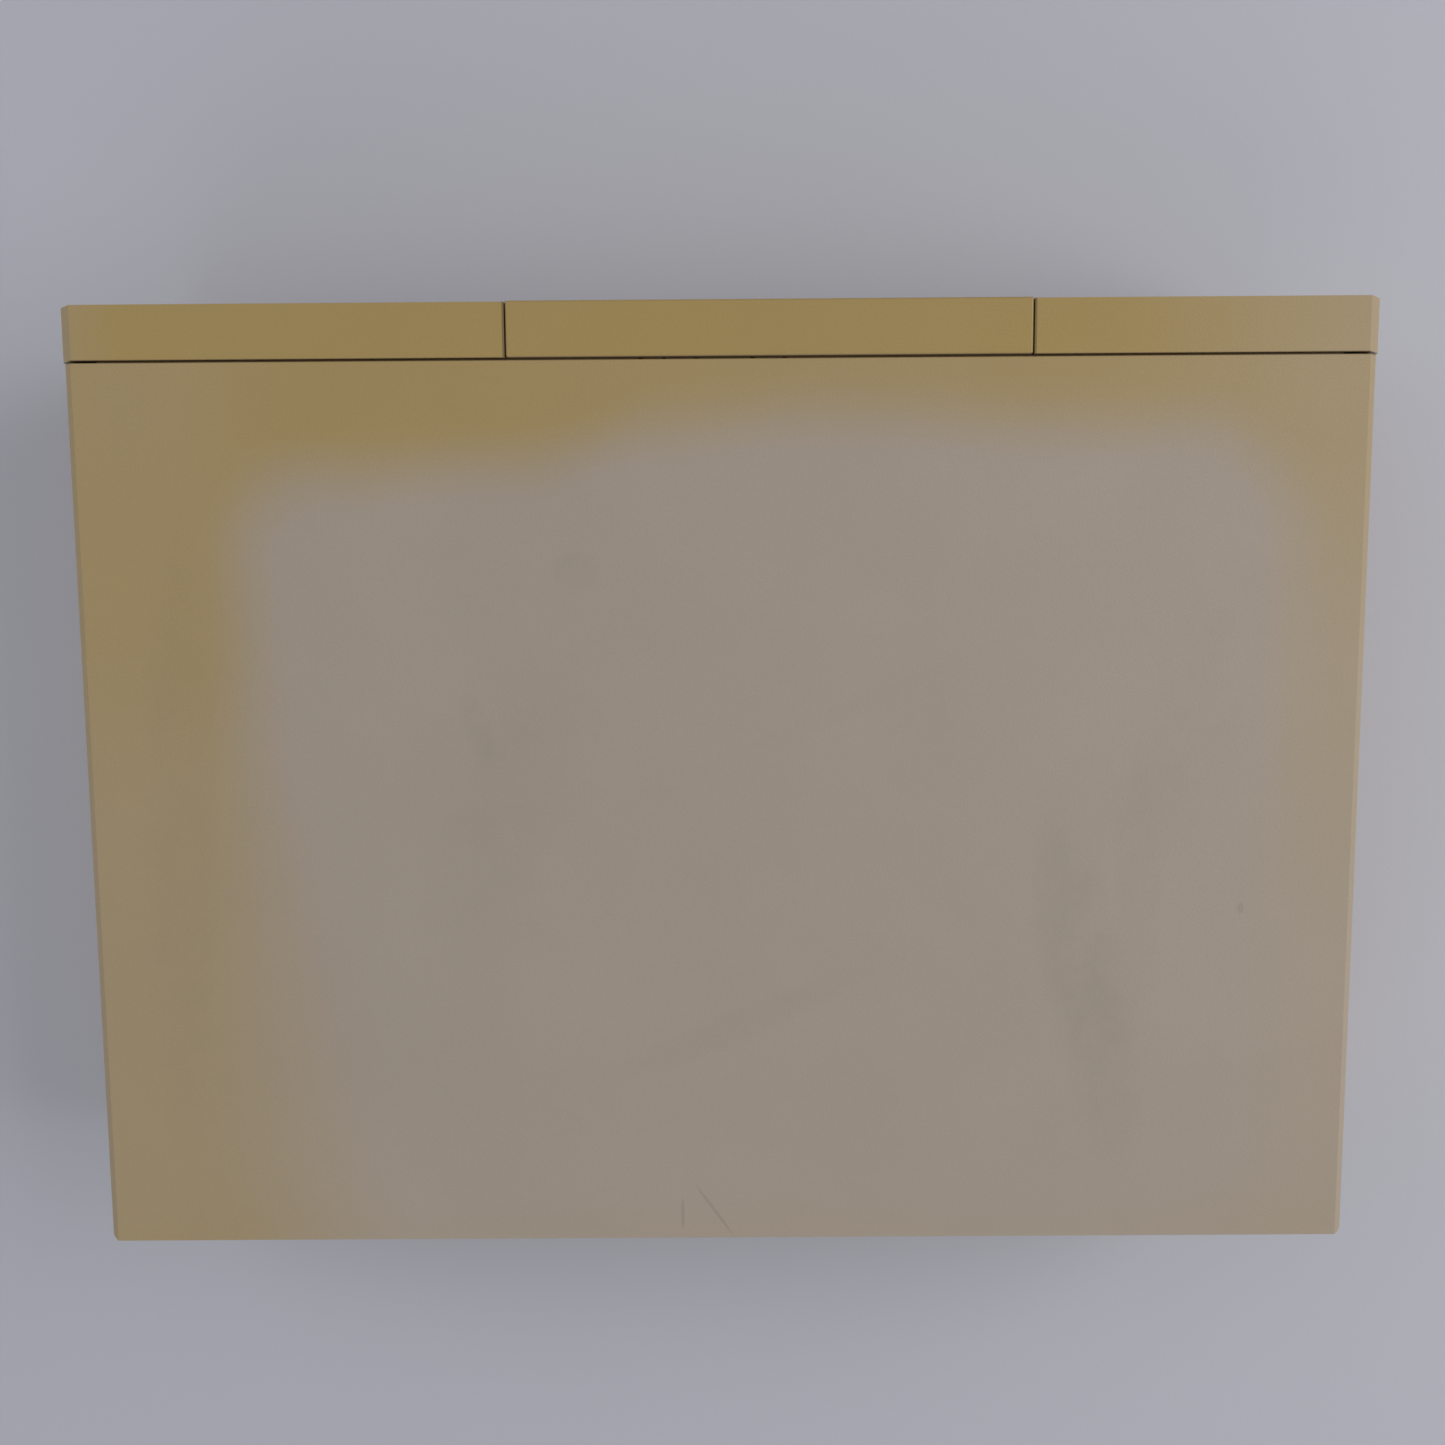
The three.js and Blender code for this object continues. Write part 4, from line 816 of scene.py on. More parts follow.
class Palette:
    """Every finish, made once and fetched by name."""

    def __init__(self) -> None:
        """Builds all the finishes."""
        finishes = (
            MouldedPlastic("cover_plastic", Ageing.COVER),
            MouldedPlastic("front_plastic", Ageing.FRONT),
            MouldedPlastic("base_plastic", Ageing.SIDES),
            MouldedPlastic("inner_plastic", Ageing.NONE),
            PlainPlastic("black_rubber", (0.016, 0.016, 0.015), 0.78, 0.00012, 1500.0),
            PlainPlastic("dark_plastic", (0.028, 0.027, 0.026), 0.42),
            PlainPlastic("grey_plastic", (0.17, 0.165, 0.155), 0.5),
            PlainPlastic("chip_epoxy", (0.02, 0.021, 0.023), 0.5, 0.00005, 3000.0),
            PlainPlastic("blue_sleeve", (0.02, 0.05, 0.2), 0.28, 0.00001),
            PlainPlastic("black_sleeve", (0.014, 0.014, 0.017), 0.26, 0.00001),
            PlainPlastic("tan_resistor", (0.5, 0.33, 0.17), 0.35, 0.00002),
            PlainPlastic("yellow_tape", (0.72, 0.5, 0.09), 0.4, 0.00003, 900.0),
            PlainPlastic("white_nylon", (0.68, 0.67, 0.62), 0.4),
            PlainPlastic("red_wire", (0.5, 0.02, 0.016), 0.38),
            PlainPlastic("black_wire", (0.015, 0.015, 0.015), 0.38),
            PlainPlastic("white_wire", (0.7, 0.69, 0.65), 0.38),
            PlainPlastic("blue_wire", (0.02, 0.07, 0.36), 0.38),
            PlainPlastic("red_collar", (0.5, 0.03, 0.03), 0.3),
            PlainPlastic("white_collar", (0.72, 0.7, 0.66), 0.3),
            Metal("zinc_sheet", (0.62, 0.63, 0.64), MetalLook.ZINC, 0.36),
            Metal("rolled_steel", (0.56, 0.56, 0.57), MetalLook.ROLLED, 0.33),
            Metal("bright_steel", (0.68, 0.68, 0.68), MetalLook.BRIGHT, 0.2),
            Metal("tinned_legs", (0.66, 0.65, 0.62), MetalLook.BRIGHT, 0.3),
            Metal("cast_alloy", (0.45, 0.46, 0.47), MetalLook.CAST, 0.5),
            Metal("black_fins", (0.05, 0.05, 0.055), MetalLook.ROLLED, 0.45),
            Metal("copper_wire", (0.7, 0.3, 0.14), MetalLook.BRIGHT, 0.3),
            Metal("gold_contact", (0.8, 0.56, 0.24), MetalLook.BRIGHT, 0.24),
            Metal("core_iron", (0.12, 0.11, 0.105), MetalLook.ROLLED, 0.55),
            CircuitBoard("circuit_board"),
            Lens("red_lens", (0.42, 0.02, 0.015)),
            Lens("green_lens", (0.06, 0.3, 0.05)),
        )
        self._made = {finish.name: finish.build() for finish in finishes}

    def __getitem__(self, name: str) -> bpy.types.Material:
        """The finish of that name."""
        return self._made[name]

    def add(self, finish: object) -> bpy.types.Material:
        """Builds one more finish and keeps it."""
        self._made[finish.name] = finish.build()
        return self._made[finish.name]


# ---------------------------------------------------------------------------------------------
# Sub-assemblies
# ---------------------------------------------------------------------------------------------


@dataclass
class Box:
    """A CAD node's box in millimetres.

    Attributes:
        low: Lowest corner.
        high: Highest corner.
    """

    low: np.ndarray
    high: np.ndarray

    @classmethod
    def of(cls, node: str) -> "Box":
        """The box of a node."""
        lo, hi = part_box(node)
        return cls(np.array(lo) / MM, np.array(hi) / MM)

    @property
    def middle(self) -> np.ndarray:
        """The box's centre."""
        return (self.low + self.high) / 2

    @property
    def size(self) -> np.ndarray:
        """The box's three sides."""
        return self.high - self.low


@dataclass
class SubAssembly:
    """Common ground of the classes below.

    Attributes:
        palette: The finishes.
        body: The CAD body that new pieces ride on.
        made: Names of the pieces built so far.
    """

    palette: Palette
    body: str = "chassis"
    made: list[str] = field(default_factory=list)

    def put(
        self,
        name: str,
        surface: Surface,
        finish: str,
        body: str | None = None,
        stands_for: Sequence[str] = (),
        sharp: float = 38.0,
    ) -> bpy.types.Object:
        """Makes an object from a surface, dresses it and lets it ride.

        Args:
            name: Object name.
            surface: Its surface, in millimetres.
            finish: Name of its finish.
            body: Body it rides on, if not the usual one.
            stands_for: CAD nodes it stands for.
            sharp: Angle in degrees past which an edge is shaded sharp.

        Returns:
            The object.
        """
        points, faces = weld(surface)
        mesh = bpy.data.meshes.new(name)
        mesh.from_pydata(points, [], faces)
        mesh.materials.append(self.palette[finish])
        mesh.shade_smooth()
        mesh.set_sharp_from_angle(angle=math.radians(sharp))
        made = bpy.data.objects.new(name, mesh)
        bpy.context.scene.collection.objects.link(made)
        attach(made, body or self.body)
        if stands_for:
            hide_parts(*stands_for)
        self.made.append(name)
        return made

    def soften(
        self, node: str, finish: str, edge: float = 0.4, steps: int = 2, body: str | None = None
    ) -> bpy.types.Object:
        """Stands in for a CAD node with the same shape and rounded edges.

        Args:
            node: The CAD node.
            finish: Name of its finish.
            edge: Edge radius.
            steps: Steps across the rounding.
            body: Body it rides on, if not the usual one.

        Returns:
            The softened piece.
        """
        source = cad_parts[node]
        shape = bmesh.new()
        shape.from_mesh(source.data)
        bmesh.ops.remove_doubles(shape, verts=shape.verts, dist=2e-6)
        bmesh.ops.dissolve_limit(
            shape, angle_limit=math.radians(0.6), verts=shape.verts, edges=shape.edges, use_dissolve_boundaries=False
        )
        share = shape.edges.layers.float.new("bevel_weight_edge")
        for line in shape.edges:
            turned = line.is_manifold and line.calc_face_angle() > math.radians(SHARP_EDGE)
            fits = SHARE_OF_ROOM * self.room(line) / (edge * MM)
            line[share] = min(1.0, max(LEAST_SHARE, fits)) if turned else 0.0
        mesh = bpy.data.meshes.new(f"{node}_finished")
        shape.to_mesh(mesh)
        shape.free()
        mesh.materials.append(self.palette[finish])
        mesh.shade_smooth()
        made = bpy.data.objects.new(f"{node}_finished", mesh)
        bpy.context.scene.collection.objects.link(made)
        bevel = made.modifiers.new("edges", "BEVEL")
        bevel.width, bevel.segments, bevel.limit_method = edge * MM, steps, "WEIGHT"
        bevel.use_clamp_overlap = True
        even = made.modifiers.new("even_shading", "WEIGHTED_NORMAL")
        even.weight, even.keep_sharp = 100, True
        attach(made, body or self.body)
        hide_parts(node)
        self.made.append(made.name)
        return made

    @staticmethod
    def room(line: bmesh.types.BMEdge) -> float:
        """The length of the shortest edge that leaves an edge's ends across either of its faces.

        Args:
            line: An edge between two faces.

        Returns:
            The length in metres, or 1 if every such edge runs on in nearly the same direction.
        """
        ahead = line.verts[1].co - line.verts[0].co
        found = 1.0
        for loop in line.link_loops:
            for near in (loop.link_loop_prev.edge, loop.link_loop_next.edge):
                other = near.verts[1].co - near.verts[0].co
                if abs(ahead.dot(other)) < 0.75 * ahead.length * other.length:
                    found = min(found, other.length)
        return found

    def dress(self, finish: str, *nodes: str) -> None:
        """Gives CAD nodes that stay as they are a finish."""
        for node in nodes:
            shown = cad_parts[node]
            shown.data.materials.clear()
            shown.data.materials.append(self.palette[finish])
            self.made.append(node)


@dataclass
class Casing(SubAssembly):
    """Base, cover, front bezel, centre panel, slot cover, feet, screws and power light.

    Attributes:
        cover_edge: Radius along the cover's edges.
        base_edge: Radius along the base's edges.
        front_edge: Radius along the edges of the bezel and the centre panel.
    """

    cover_edge: float = 1.6
    base_edge: float = 0.6
    front_edge: float = 0.9

    def build(self) -> None:
        """Builds the whole case."""
        self.soften("top_cover", "cover_plastic", self.cover_edge, 4, "cover")
        self.soften("base_tray", "base_plastic", self.base_edge)
        self.soften("front_bezel", "front_plastic", self.front_edge, 3)
        self.soften("centre_panel", "front_plastic", self.front_edge, 3, "panel")
        self.soften("expansion_cover", "base_plastic", 0.4, 2, "slot_cover")
        self.soften("power_light", "red_lens", 0.3, 2)
        self.feet()
        for end in ("front", "rear"):
            for side in ("left", "right"):
                self.dress("zinc_sheet", f"case_screw_{end}_{side}")

    def feet(self) -> None:
        """Rubber feet: a dished disc with a moulded ring, turned about its own axis."""
        for end in ("front", "rear"):
            for side in ("left", "right"):
                node = f"foot_{end}_{side}"
                box = Box.of(node)
                r, top = box.size[0] / 2, box.high[2]
                profile = [(0, 0.5), (3.2, 0.45), (4.0, 0.0), (r - 1.4, 0), (r - 0.7, 0.12), (r - 0.2, 0.5),
                           (r, 1.1), (r - 0.15, top), (0, top)]
                centre = (box.middle[0], box.middle[1], 0)
                self.put(f"{node}_rubber", lathe(profile, centre, 40), "black_rubber", stands_for=[node])


@dataclass
class MainBoard(SubAssembly):
    """The main circuit board with its chips, small parts, shield and modulator can.

    Attributes:
        top: Height of the board's upper face.
        pin_pitch: Distance between a chip's legs.
    """

    top: float = 40.5
    pin_pitch: float = 2.54

    def chip(self, pins: int, width: float, height: float = 3.6) -> tuple[Surface, Surface]:
        """A dual-in-line chip along X and its legs.

        The body is a rounded block narrowed above and below its middle line. A leg is a flat strip
        carried along a bent path: out from the body, then down to the board.

        Args:
            pins: Number of legs, both rows together.
            width: Body width.
            height: Body height over the board.

        Returns:
            The body and the legs.
        """
        half = pins / 2 * self.pin_pitch / 2
        body = block((-half, -width / 2, 0.8), (half, width / 2, 0.8 + height), 0.35, 1)
        middle = 0.8 + height / 2
        taper = 1 - 0.07 * np.abs(body.points[:, 2:] - middle) / (height / 2) * 6.35 / width
        body = Surface(body.points * np.concatenate([np.ones_like(taper), taper, np.ones_like(taper)], 1), body.faces)
        notch = lathe([(0, 0.06), (1.2, 0.06), (1.2, -0.2), (0, -0.2)][::-1], (-half + 1.4, 0, 0.8 + height), 16)
        out = width / 2
        path = np.array(
            [(0, out - 0.3, middle), (0, out + 0.45, middle), (0, out + 0.75, middle - 0.35), (0, out + 0.8, 0.0)]
        )
        strip = np.array([(-0.6, -0.12), (0.6, -0.12), (0.6, 0.12), (-0.6, 0.12)])
        leg = sweep(path, strip, (1, 0, 0))
        spots = (np.arange(pins // 2) + 0.5) * self.pin_pitch - half
        row = leg.repeated([(x, 0, 0) for x in spots])
        other = row.turned(180.0)
        return joined([body, notch]), joined([row, other])

    def big_chips(self) -> None:
        """The five large chips, each on the CAD chip's place."""
        kinds = {
            "processor_chip": 64,
            "display_chip": 48,
            "audio_chip": 48,
            "memory_control_chip": 48,
            "system_rom_chip": 40,
        }
        for node, pins in kinds.items():
            box = Box.of(node)
            body, legs = self.chip(pins, 14.2, 4.0)
            spot = (box.middle[0], box.middle[1], self.top)
            self.put(f"{node}_body", body.moved(spot), "chip_epoxy", stands_for=[node])
            self.put(f"{node}_legs", legs.moved(spot), "tinned_legs")

    def small_chips(self) -> None:
        """Memory and logic chips in rows."""
        spots = [(104 + 12 * i, 20 + 27 * j) for i in range(8) for j in range(2)]
        logic = [(-66 + 11.5 * i, 118.5) for i in range(9)] + [(52 + 12.0 * i, -22.0) for i in range(4)]
        logic += [(8 + 11.5 * i, 22.0) for i in range(7)]
        body, legs = self.chip(16, 6.4)
        body, legs = body.turned(90.0), legs.turned(90.0)
        z = self.top
        places = [(x, y, z) for x, y in spots + logic]
        self.put("logic_chips", body.repeated(places), "chip_epoxy")
        self.put("logic_chip_legs", legs.repeated(places), "tinned_legs")

    def capacitors(self) -> None:
        """Upright electrolytic capacitors: a turned can with a rolled groove and a crimped top."""
        can = [(0, 0), (2.9, 0), (3.1, 0.3), (3.1, 1.3), (2.85, 1.7), (3.1, 2.1), (3.1, 8.6), (2.8, 9.0), (0, 9.0)]
        top = [(0, 9.0), (2.55, 9.0), (2.5, 9.15), (0, 9.12)]
        spots = [(-74, 60 + 12 * i) for i in range(4)] + [(48 + 14 * i, 121) for i in range(4)]
        spots += [(142, 66), (156, 66), (193, 66), (-74, -30), (-74, -44)]
        places = [(x, y, self.top) for x, y in spots]
        self.put("board_capacitors", lathe(can, sides=20).repeated(places), "blue_sleeve")
        self.put("board_capacitor_tops", lathe(top[::-1][::-1], sides=20).repeated(places), "tinned_legs")

    def resistors(self) -> None:
        """Axial resistors: a dog-bone turned about X, on leads bent down to the board."""
        bone = [(0, -3.1), (0.7, -3.1), (1.05, -2.8), (1.05, -2.0), (0.85, -1.5), (0.85, 1.5), (1.05, 2.0), (1.05, 2.8),
                (0.7, 3.1), (0, 3.1)]
        body = lathe(bone, sides=12).along("x").moved((0, 0, 1.5))
        lead_path = smooth_path([(-5, 0, 0), (-4.9, 0, 1.2), (-4.3, 0, 1.5), (0, 0, 1.5), (4.3, 0, 1.5), (4.9, 0, 1.2),
                                 (5, 0, 0)], 15)
        lead = sweep(lead_path, circle(0.3, 6), (0, 1, 0))
        spots = [(-60 + 13 * (i % 9), 134.0 - 3.2 * (i // 9)) for i in range(18)]
        spots += [(112 + 13 * (i % 3), 84.0 + 3.2 * (i // 3)) for i in range(12)]
        spots += [(-62 + 13 * (i % 2), -6.0 + 3.2 * (i // 2)) for i in range(6)]
        places = [(x, y, self.top) for x, y in spots]
        self.put("board_resistors", body.repeated(places), "tan_resistor")
        self.put("board_resistor_leads", lead.repeated(places), "tinned_legs")

    def modulator(self) -> None:
        """The can over the video stage: folded lid with a pressed rim, and four tags."""
        self.soften("modulator_can", "zinc_sheet", 0.8, 2)
        box = Box.of("modulator_can")
        x, y, z = box.middle[0], box.middle[1], box.high[2]
        r = np.array([0, 2.2, 2.6, 3.2, 3.6])
        h = np.array([0.1, 0.1, 0.05, 0.02, -0.3])
        dimple = lathe(list(zip(r[::-1], h[::-1])), sides=20)
        spots = [(x + dx, y + dy, z) for dx in (-12, 12) for dy in (-9, 9)]
        self.put("modulator_dimples", dimple.repeated(spots), "zinc_sheet")

    def connectors(self) -> None:
        """Cartridge socket, edge connector and a crystal."""
        self.soften("cartridge_socket", "dark_plastic", 0.5)
        self.soften("expansion_connector", "dark_plastic", 0.4)
        box = Box.of("expansion_connector")
        x, z = box.high[0], box.high[2] - 3.2
        finger = block((x - 0.15, -0.8, z - 1.6), (x + 0.35, 0.8, z + 1.6), 0.12, 1)
        count = 28
        spots = [(0, box.low[1] + 4 + (box.size[1] - 8) * i / (count - 1), 0) for i in range(count)]
        self.put("expansion_contacts", finger.repeated(spots), "gold_contact")
        crystal = block((-5.4, -2.2, 0.2), (5.4, 2.2, 12.5), 2.1, 4)
        self.put("crystal_can", crystal.moved((84, 108, self.top)), "bright_steel")

    def build(self) -> None:
        """Builds everything on the board."""
        self.dress("circuit_board", "main_board")
        self.dress("zinc_sheet", "shield_pan")
        self.big_chips()
        self.small_chips()
        self.capacitors()
        self.resistors()
        self.modulator()
        self.connectors()


@dataclass
class MemoryCartridge(SubAssembly):
    """The plug-in memory cartridge behind the centre panel."""

    def build(self) -> None:
        """Softened case with finger ribs near its front."""
        self.soften("memory_cartridge", "inner_plastic", 0.9, 3)
        box = Box.of("memory_cartridge")
        x0, x1, top = box.low[0], box.high[0], box.high[2]
        rib = block((x0 + 18, -0.7, top - 0.3), (x1 - 18, 0.7, top + 0.55), 0.35, 2)
        front = box.low[1] + 14
        self.put("cartridge_grip_ribs", rib.repeated([(0, front + 3.2 * i, 0) for i in range(6)]), "inner_plastic")


@dataclass
class PowerSupply(SubAssembly):
    """The boxed supply with its board, transformer, fins and coil."""

    def build(self) -> None:
        """Builds the supply."""
        self.soften("psu_tray", "zinc_sheet", 0.35)
        self.soften("psu_lid", "zinc_sheet", 0.35)
        self.dress("circuit_board", "psu_board")
        self.soften("psu_heatsink", "black_fins", 0.25)
        self.soften("psu_capacitor", "black_sleeve", 0.6)
        self.transformer()
        self.screws()

    def transformer(self) -> None:
        """Stacked iron core with a taped winding and a copper coil beside it."""
        box = Box.of("psu_transformer")
        lo, hi = box.low, box.high
        plates = 16
        thick = (hi[2] - lo[2]) / plates
        plate = block((lo[0], lo[1] + 8, 0.06), (hi[0], hi[1] - 8, thick - 0.06), 0.1, 1)
        stack = plate.repeated([(0, 0, lo[2] + thick * i) for i in range(plates)])
        self.put("transformer_core", stack, "core_iron", stands_for=["psu_transformer"])
        winding = block((lo[0] + 5, lo[1], lo[2] + 6), (hi[0] - 5, hi[1], hi[2] - 6), 4.0, 5)
        self.put("transformer_winding", winding, "yellow_tape")
        turn = np.linspace(0, 2 * np.pi, 40, endpoint=False)
        ring = np.linspace(0, 2 * np.pi, 60, endpoint=False)
        a, b = np.meshgrid(ring, turn, indexing="ij")
        thread = 3.4 + 0.3 * np.abs(np.sin(15 * a))
        reach = 8 + thread * np.cos(b)
        coil = np.stack([reach * np.cos(a), reach * np.sin(a), thread * np.sin(b)], -1)
        board = Box.of("psu_board")
        spot = (board.middle[0] - 6, board.low[1] + 22, board.high[2] + 4.2)
        self.put("supply_coil", grid(coil, True, True).moved(spot), "copper_wire")

    def screws(self) -> None:
        """Lid screws along both long sides of the tray."""
        box = Box.of("psu_tray")
        head = screw_head(2.6, 1.7)
        z = box.low[2] + 22
        right = head.along("x").repeated([(box.high[0], y, z) for y in (box.low[1] + 12, box.high[1] - 40)])
        places = [(box.low[0], y, z) for y in (box.low[1] + 12, box.high[1] - 40)]
        left = head.turned(180.0, "x").along("x").repeated(places)
        self.put("supply_screws", joined([left, right]), "bright_steel")


@dataclass
class CoolingFan(SubAssembly):
    """Square fan with a turned hub and seven twisted blades.

    Attributes:
        hub: Hub radius.
        tip: Blade tip radius.
        blades: Number of blades.
    """

    hub: float = 11.0
    tip: float = 22.0
    blades: int = 7

    def blade(self) -> Surface:
        """A blade as a function of span s and chord c.

        Its radius grows with s, its pitch falls from 52 to 30 degrees, and it is cambered as an arc.
        """
        s = np.linspace(0, 1, 9)[:, None]
        c = np.linspace(-1, 1, 11)[None]
        r = self.hub - 0.8 + (self.tip - self.hub + 0.8) * s
        pitch = np.radians(52 - 22 * s)
        half = 4.6 + 1.6 * s
        bow = 1.1 * (1 - c**2)
        along = half * c * np.cos(pitch) - bow * np.sin(pitch)
        deep = half * c * np.sin(pitch) + bow * np.cos(pitch)
        angle = along / r + 0.12 * s
        deep = np.clip(deep, -4.6, 4.6)
        face = np.stack([r * np.cos(angle), r * np.sin(angle), deep], -1)
        back = face + np.array([0, 0, 0.9]) * (1 - 0.5 * np.abs(c))[..., None]
        ring = np.concatenate([face, back[:, ::-1]], 1)
        ends = [np.broadcast_to(ring[k].mean(0), ring[k].shape)[None] for k in (0, -1)]
        return grid(np.concatenate([ends[0], ring, ends[1]]), wrap_v=True)

    def build(self) -> None:
        """Builds frame and rotor."""
        self.soften("fan_frame", "dark_plastic", 0.4)
        box = Box.of("fan_rotor")
        frame_box = Box.of("fan_frame")
        x, z = frame_box.middle[0], frame_box.middle[2]
        y = box.middle[1]
        cup = [(0, -5.6), (self.hub - 1.2, -5.6), (self.hub - 0.3, -5.3), (self.hub, -4.6), (self.hub, 5.0),
               (self.hub - 0.4, 5.6), (4, 5.6), (3.6, 5.2), (0, 5.2)]
        blades = [self.blade().turned(360 * i / self.blades) for i in range(self.blades)]
        rotor = joined([lathe(cup, sides=48), *blades]).along("y").moved((x, y, z))
        self.put("fan_rotor_blades", rotor, "dark_plastic", "fan", ["fan_rotor"])


@dataclass
class RearPorts(SubAssembly):
    """Rear plate, its sockets, the mains inlet and the controller ports at the side.

    Attributes:
        plate: Depth position of the plate's outer face.
    """

    plate: float = 157.7

    def pins(self, columns: int, rows: int, pitch: float, gap: float, length: float, radius: float) -> Surface:
        """Round-nosed pins in staggered rows, pointing along Y.

        Args:
            columns: Pins in the longer row.
            rows: Number of rows.
            pitch: Distance between pins of a row.
            gap: Distance between rows.
            length: Pin length.
            radius: Pin radius.

        Returns:
            All the pins, with their roots at y = 0.
        """
        tip = length - radius
        nose = [(0, 0), (radius, 0), (radius, tip), (0.7 * radius, tip + 0.7 * radius), (0, length)]
        pin = lathe(nose, sides=10).along("y")
        places = []
        for row in range(rows):
            count = columns - row
            z = gap * ((rows - 1) / 2 - row)
            places += [(pitch * (i - (count - 1) / 2), 0, z) for i in range(count)]
        return pin.repeated(places)

    def sockets(self) -> None:
        """D-shaped sockets: metal shell, dark insert, contacts and hex posts."""
        kinds = {"parallel_port": 13, "disk_port": 12, "serial_port": 13, "monitor_port": 12}
        inserts, contacts = [], []
        for node, columns in kinds.items():
            self.soften(node, "bright_steel", 0.35)
            box = Box.of(node)
            x, z, y = box.middle[0], 47.5, self.plate
            half = (columns * 2.76 + 1.4) / 2
            inserts.append(block((x - half, y + 4.4, z - 3.1), (x + half, y + 4.95, z + 3.1), 0.25, 1))
            contacts.append(self.pins(columns, 2, 2.76, 2.84, 0.7, 0.6).moved((x, y + 4.8, z)))
        self.put("port_inserts", joined(inserts), "dark_plastic")
        self.put("port_contacts", joined(contacts), "gold_contact")

    def jacks(self) -> None:
        """Keyboard, audio and video jacks."""
        self.soften("keyboard_jack", "dark_plastic", 0.35)
        box = Box.of("keyboard_jack")
        x, z = box.middle[0], 47.5
        knots = [(0, 150.6, -2.6), (0, 153.0, -2.2), (0, 156.5, 0.4), (0, 157.6, 0.2)]
        wire = sweep(smooth_path(knots, 12), circle(0.22, 6), (1, 0, 0))
        springs = wire.repeated([(x + 1.02 * (i - 2.5), 0, z) for i in range(6)])
        self.put("keyboard_jack_springs", springs, "gold_contact")
        self.soften("audio_jacks", "dark_plastic", 0.3)
        box = Box.of("audio_jacks")
        ring = [(2.2, 0.4), (4.0, 0.4), (4.05, 0.0), (4.05, -0.6), (2.2, -0.6), (2.2, 0.4)]
        collar = lathe(ring, sides=32).along("y")
        for name, height, finish in (("lower", 0, "white_collar"), ("upper", 14, "red_collar")):
            spot = (box.middle[0], box.high[1] - 0.3, 47.5 + height)
            self.put(f"audio_collar_{name}", collar.moved(spot), finish)
        sleeve = lathe([(1.75, 0), (1.95, 0), (1.95, 5.2), (1.75, 5.2), (1.75, 0)], sides=24).along("y")
        spots = [(box.middle[0], self.plate + 0.3, 47.5 + h) for h in (0, 14)]
        self.put("audio_sleeves", sleeve.repeated(spots), "bright_steel")
        self.soften("video_jack", "dark_plastic", 0.3)
        box = Box.of("video_jack")
        x = box.middle[0]
        ring = lathe([(5.75, 0), (6.45, 0), (6.45, 2.2), (6.3, 2.35), (5.9, 2.35), (5.75, 2.2), (5.75, 0)], sides=40)
        self.put("video_shield", ring.along("y").moved((x, self.plate + 0.0, 48.5)), "bright_steel")
        a = np.radians(np.linspace(200, 340, 5))
        hole = lathe([(0, 0), (0.75, 0), (0.75, 0.25), (0, 0.25)], sides=12).along("y")
        spots = [(x + 3.4 * np.cos(t), box.high[1] - 0.2, 48.5 + 3.4 * np.sin(t)) for t in a]
        self.put("video_contacts", hole.repeated(spots), "gold_contact")

    def inlet(self) -> None:
        """Mains inlet with plated blades."""
        self.soften("mains_inlet", "dark_plastic", 0.5)
        box = Box.of("mains_inlet")
        x, z = box.middle[0], box.middle[2]
        blade = block((-1.05, 142.0, -2.05), (1.05, 152.6, 2.05), 0.5, 2)
        spots = [(x + dx, 0, z + dz) for dx, dz in ((-7, -1), (0, 3), (7, -1))]
        self.put("inlet_blades", blade.repeated(spots), "bright_steel")
        head = screw_head(2.4, 1.3).along("y")
        spots = [(x + dx, self.plate, z) for dx in (-19, 19)]
        self.put("inlet_screws", head.repeated(spots), "bright_steel")

    def controllers(self) -> None:
        """Nine-way ports in the right side."""
        inserts, pins = [], []
        for end in ("front", "rear"):
            node = f"controller_port_{end}"
            self.soften(node, "bright_steel", 0.3)
            box = Box.of(node)
            x, y, z = box.high[0], box.middle[1], 47.1
            inserts.append(block((x - 0.3, y - 7.4, z - 3.3), (x + 0.15, y + 7.4, z + 3.3), 0.15, 1))
            made = self.pins(5, 2, 2.76, 2.84, 0.9, 0.5)
            turned = Surface(made.points[:, (1, 0, 2)], made.faces[:, ::-1])
            pins.append(turned.moved((x + 0.05, y, z)))
        self.put("controller_inserts", joined(inserts), "dark_plastic")
        self.put("controller_pins", joined(pins), "gold_contact")

    def build(self) -> None:
        """Builds the plate and everything in it."""
        self.soften("rear_panel", "zinc_sheet", 0.25)
        self.sockets()
        self.jacks()
        self.inlet()
        self.controllers()
        box = Box.of("rear_panel")
        head = screw_head(2.6, 1.6).along("y")
        spots = [(x, self.plate, box.high[2] - 6) for x in (box.low[0] + 8, -30, 90, box.high[0] - 8)]
        self.put("rear_plate_screws", head.repeated(spots), "bright_steel")


@dataclass
class PowerSwitch(SubAssembly):
    """Rocker switch in the left side."""

    def build(self) -> None:
        """Builds body and rocker, both with rounded edges."""
        self.soften("power_switch_body", "dark_plastic", 0.4)
        self.soften("power_rocker", "grey_plastic", 0.5, 3, "rocker")


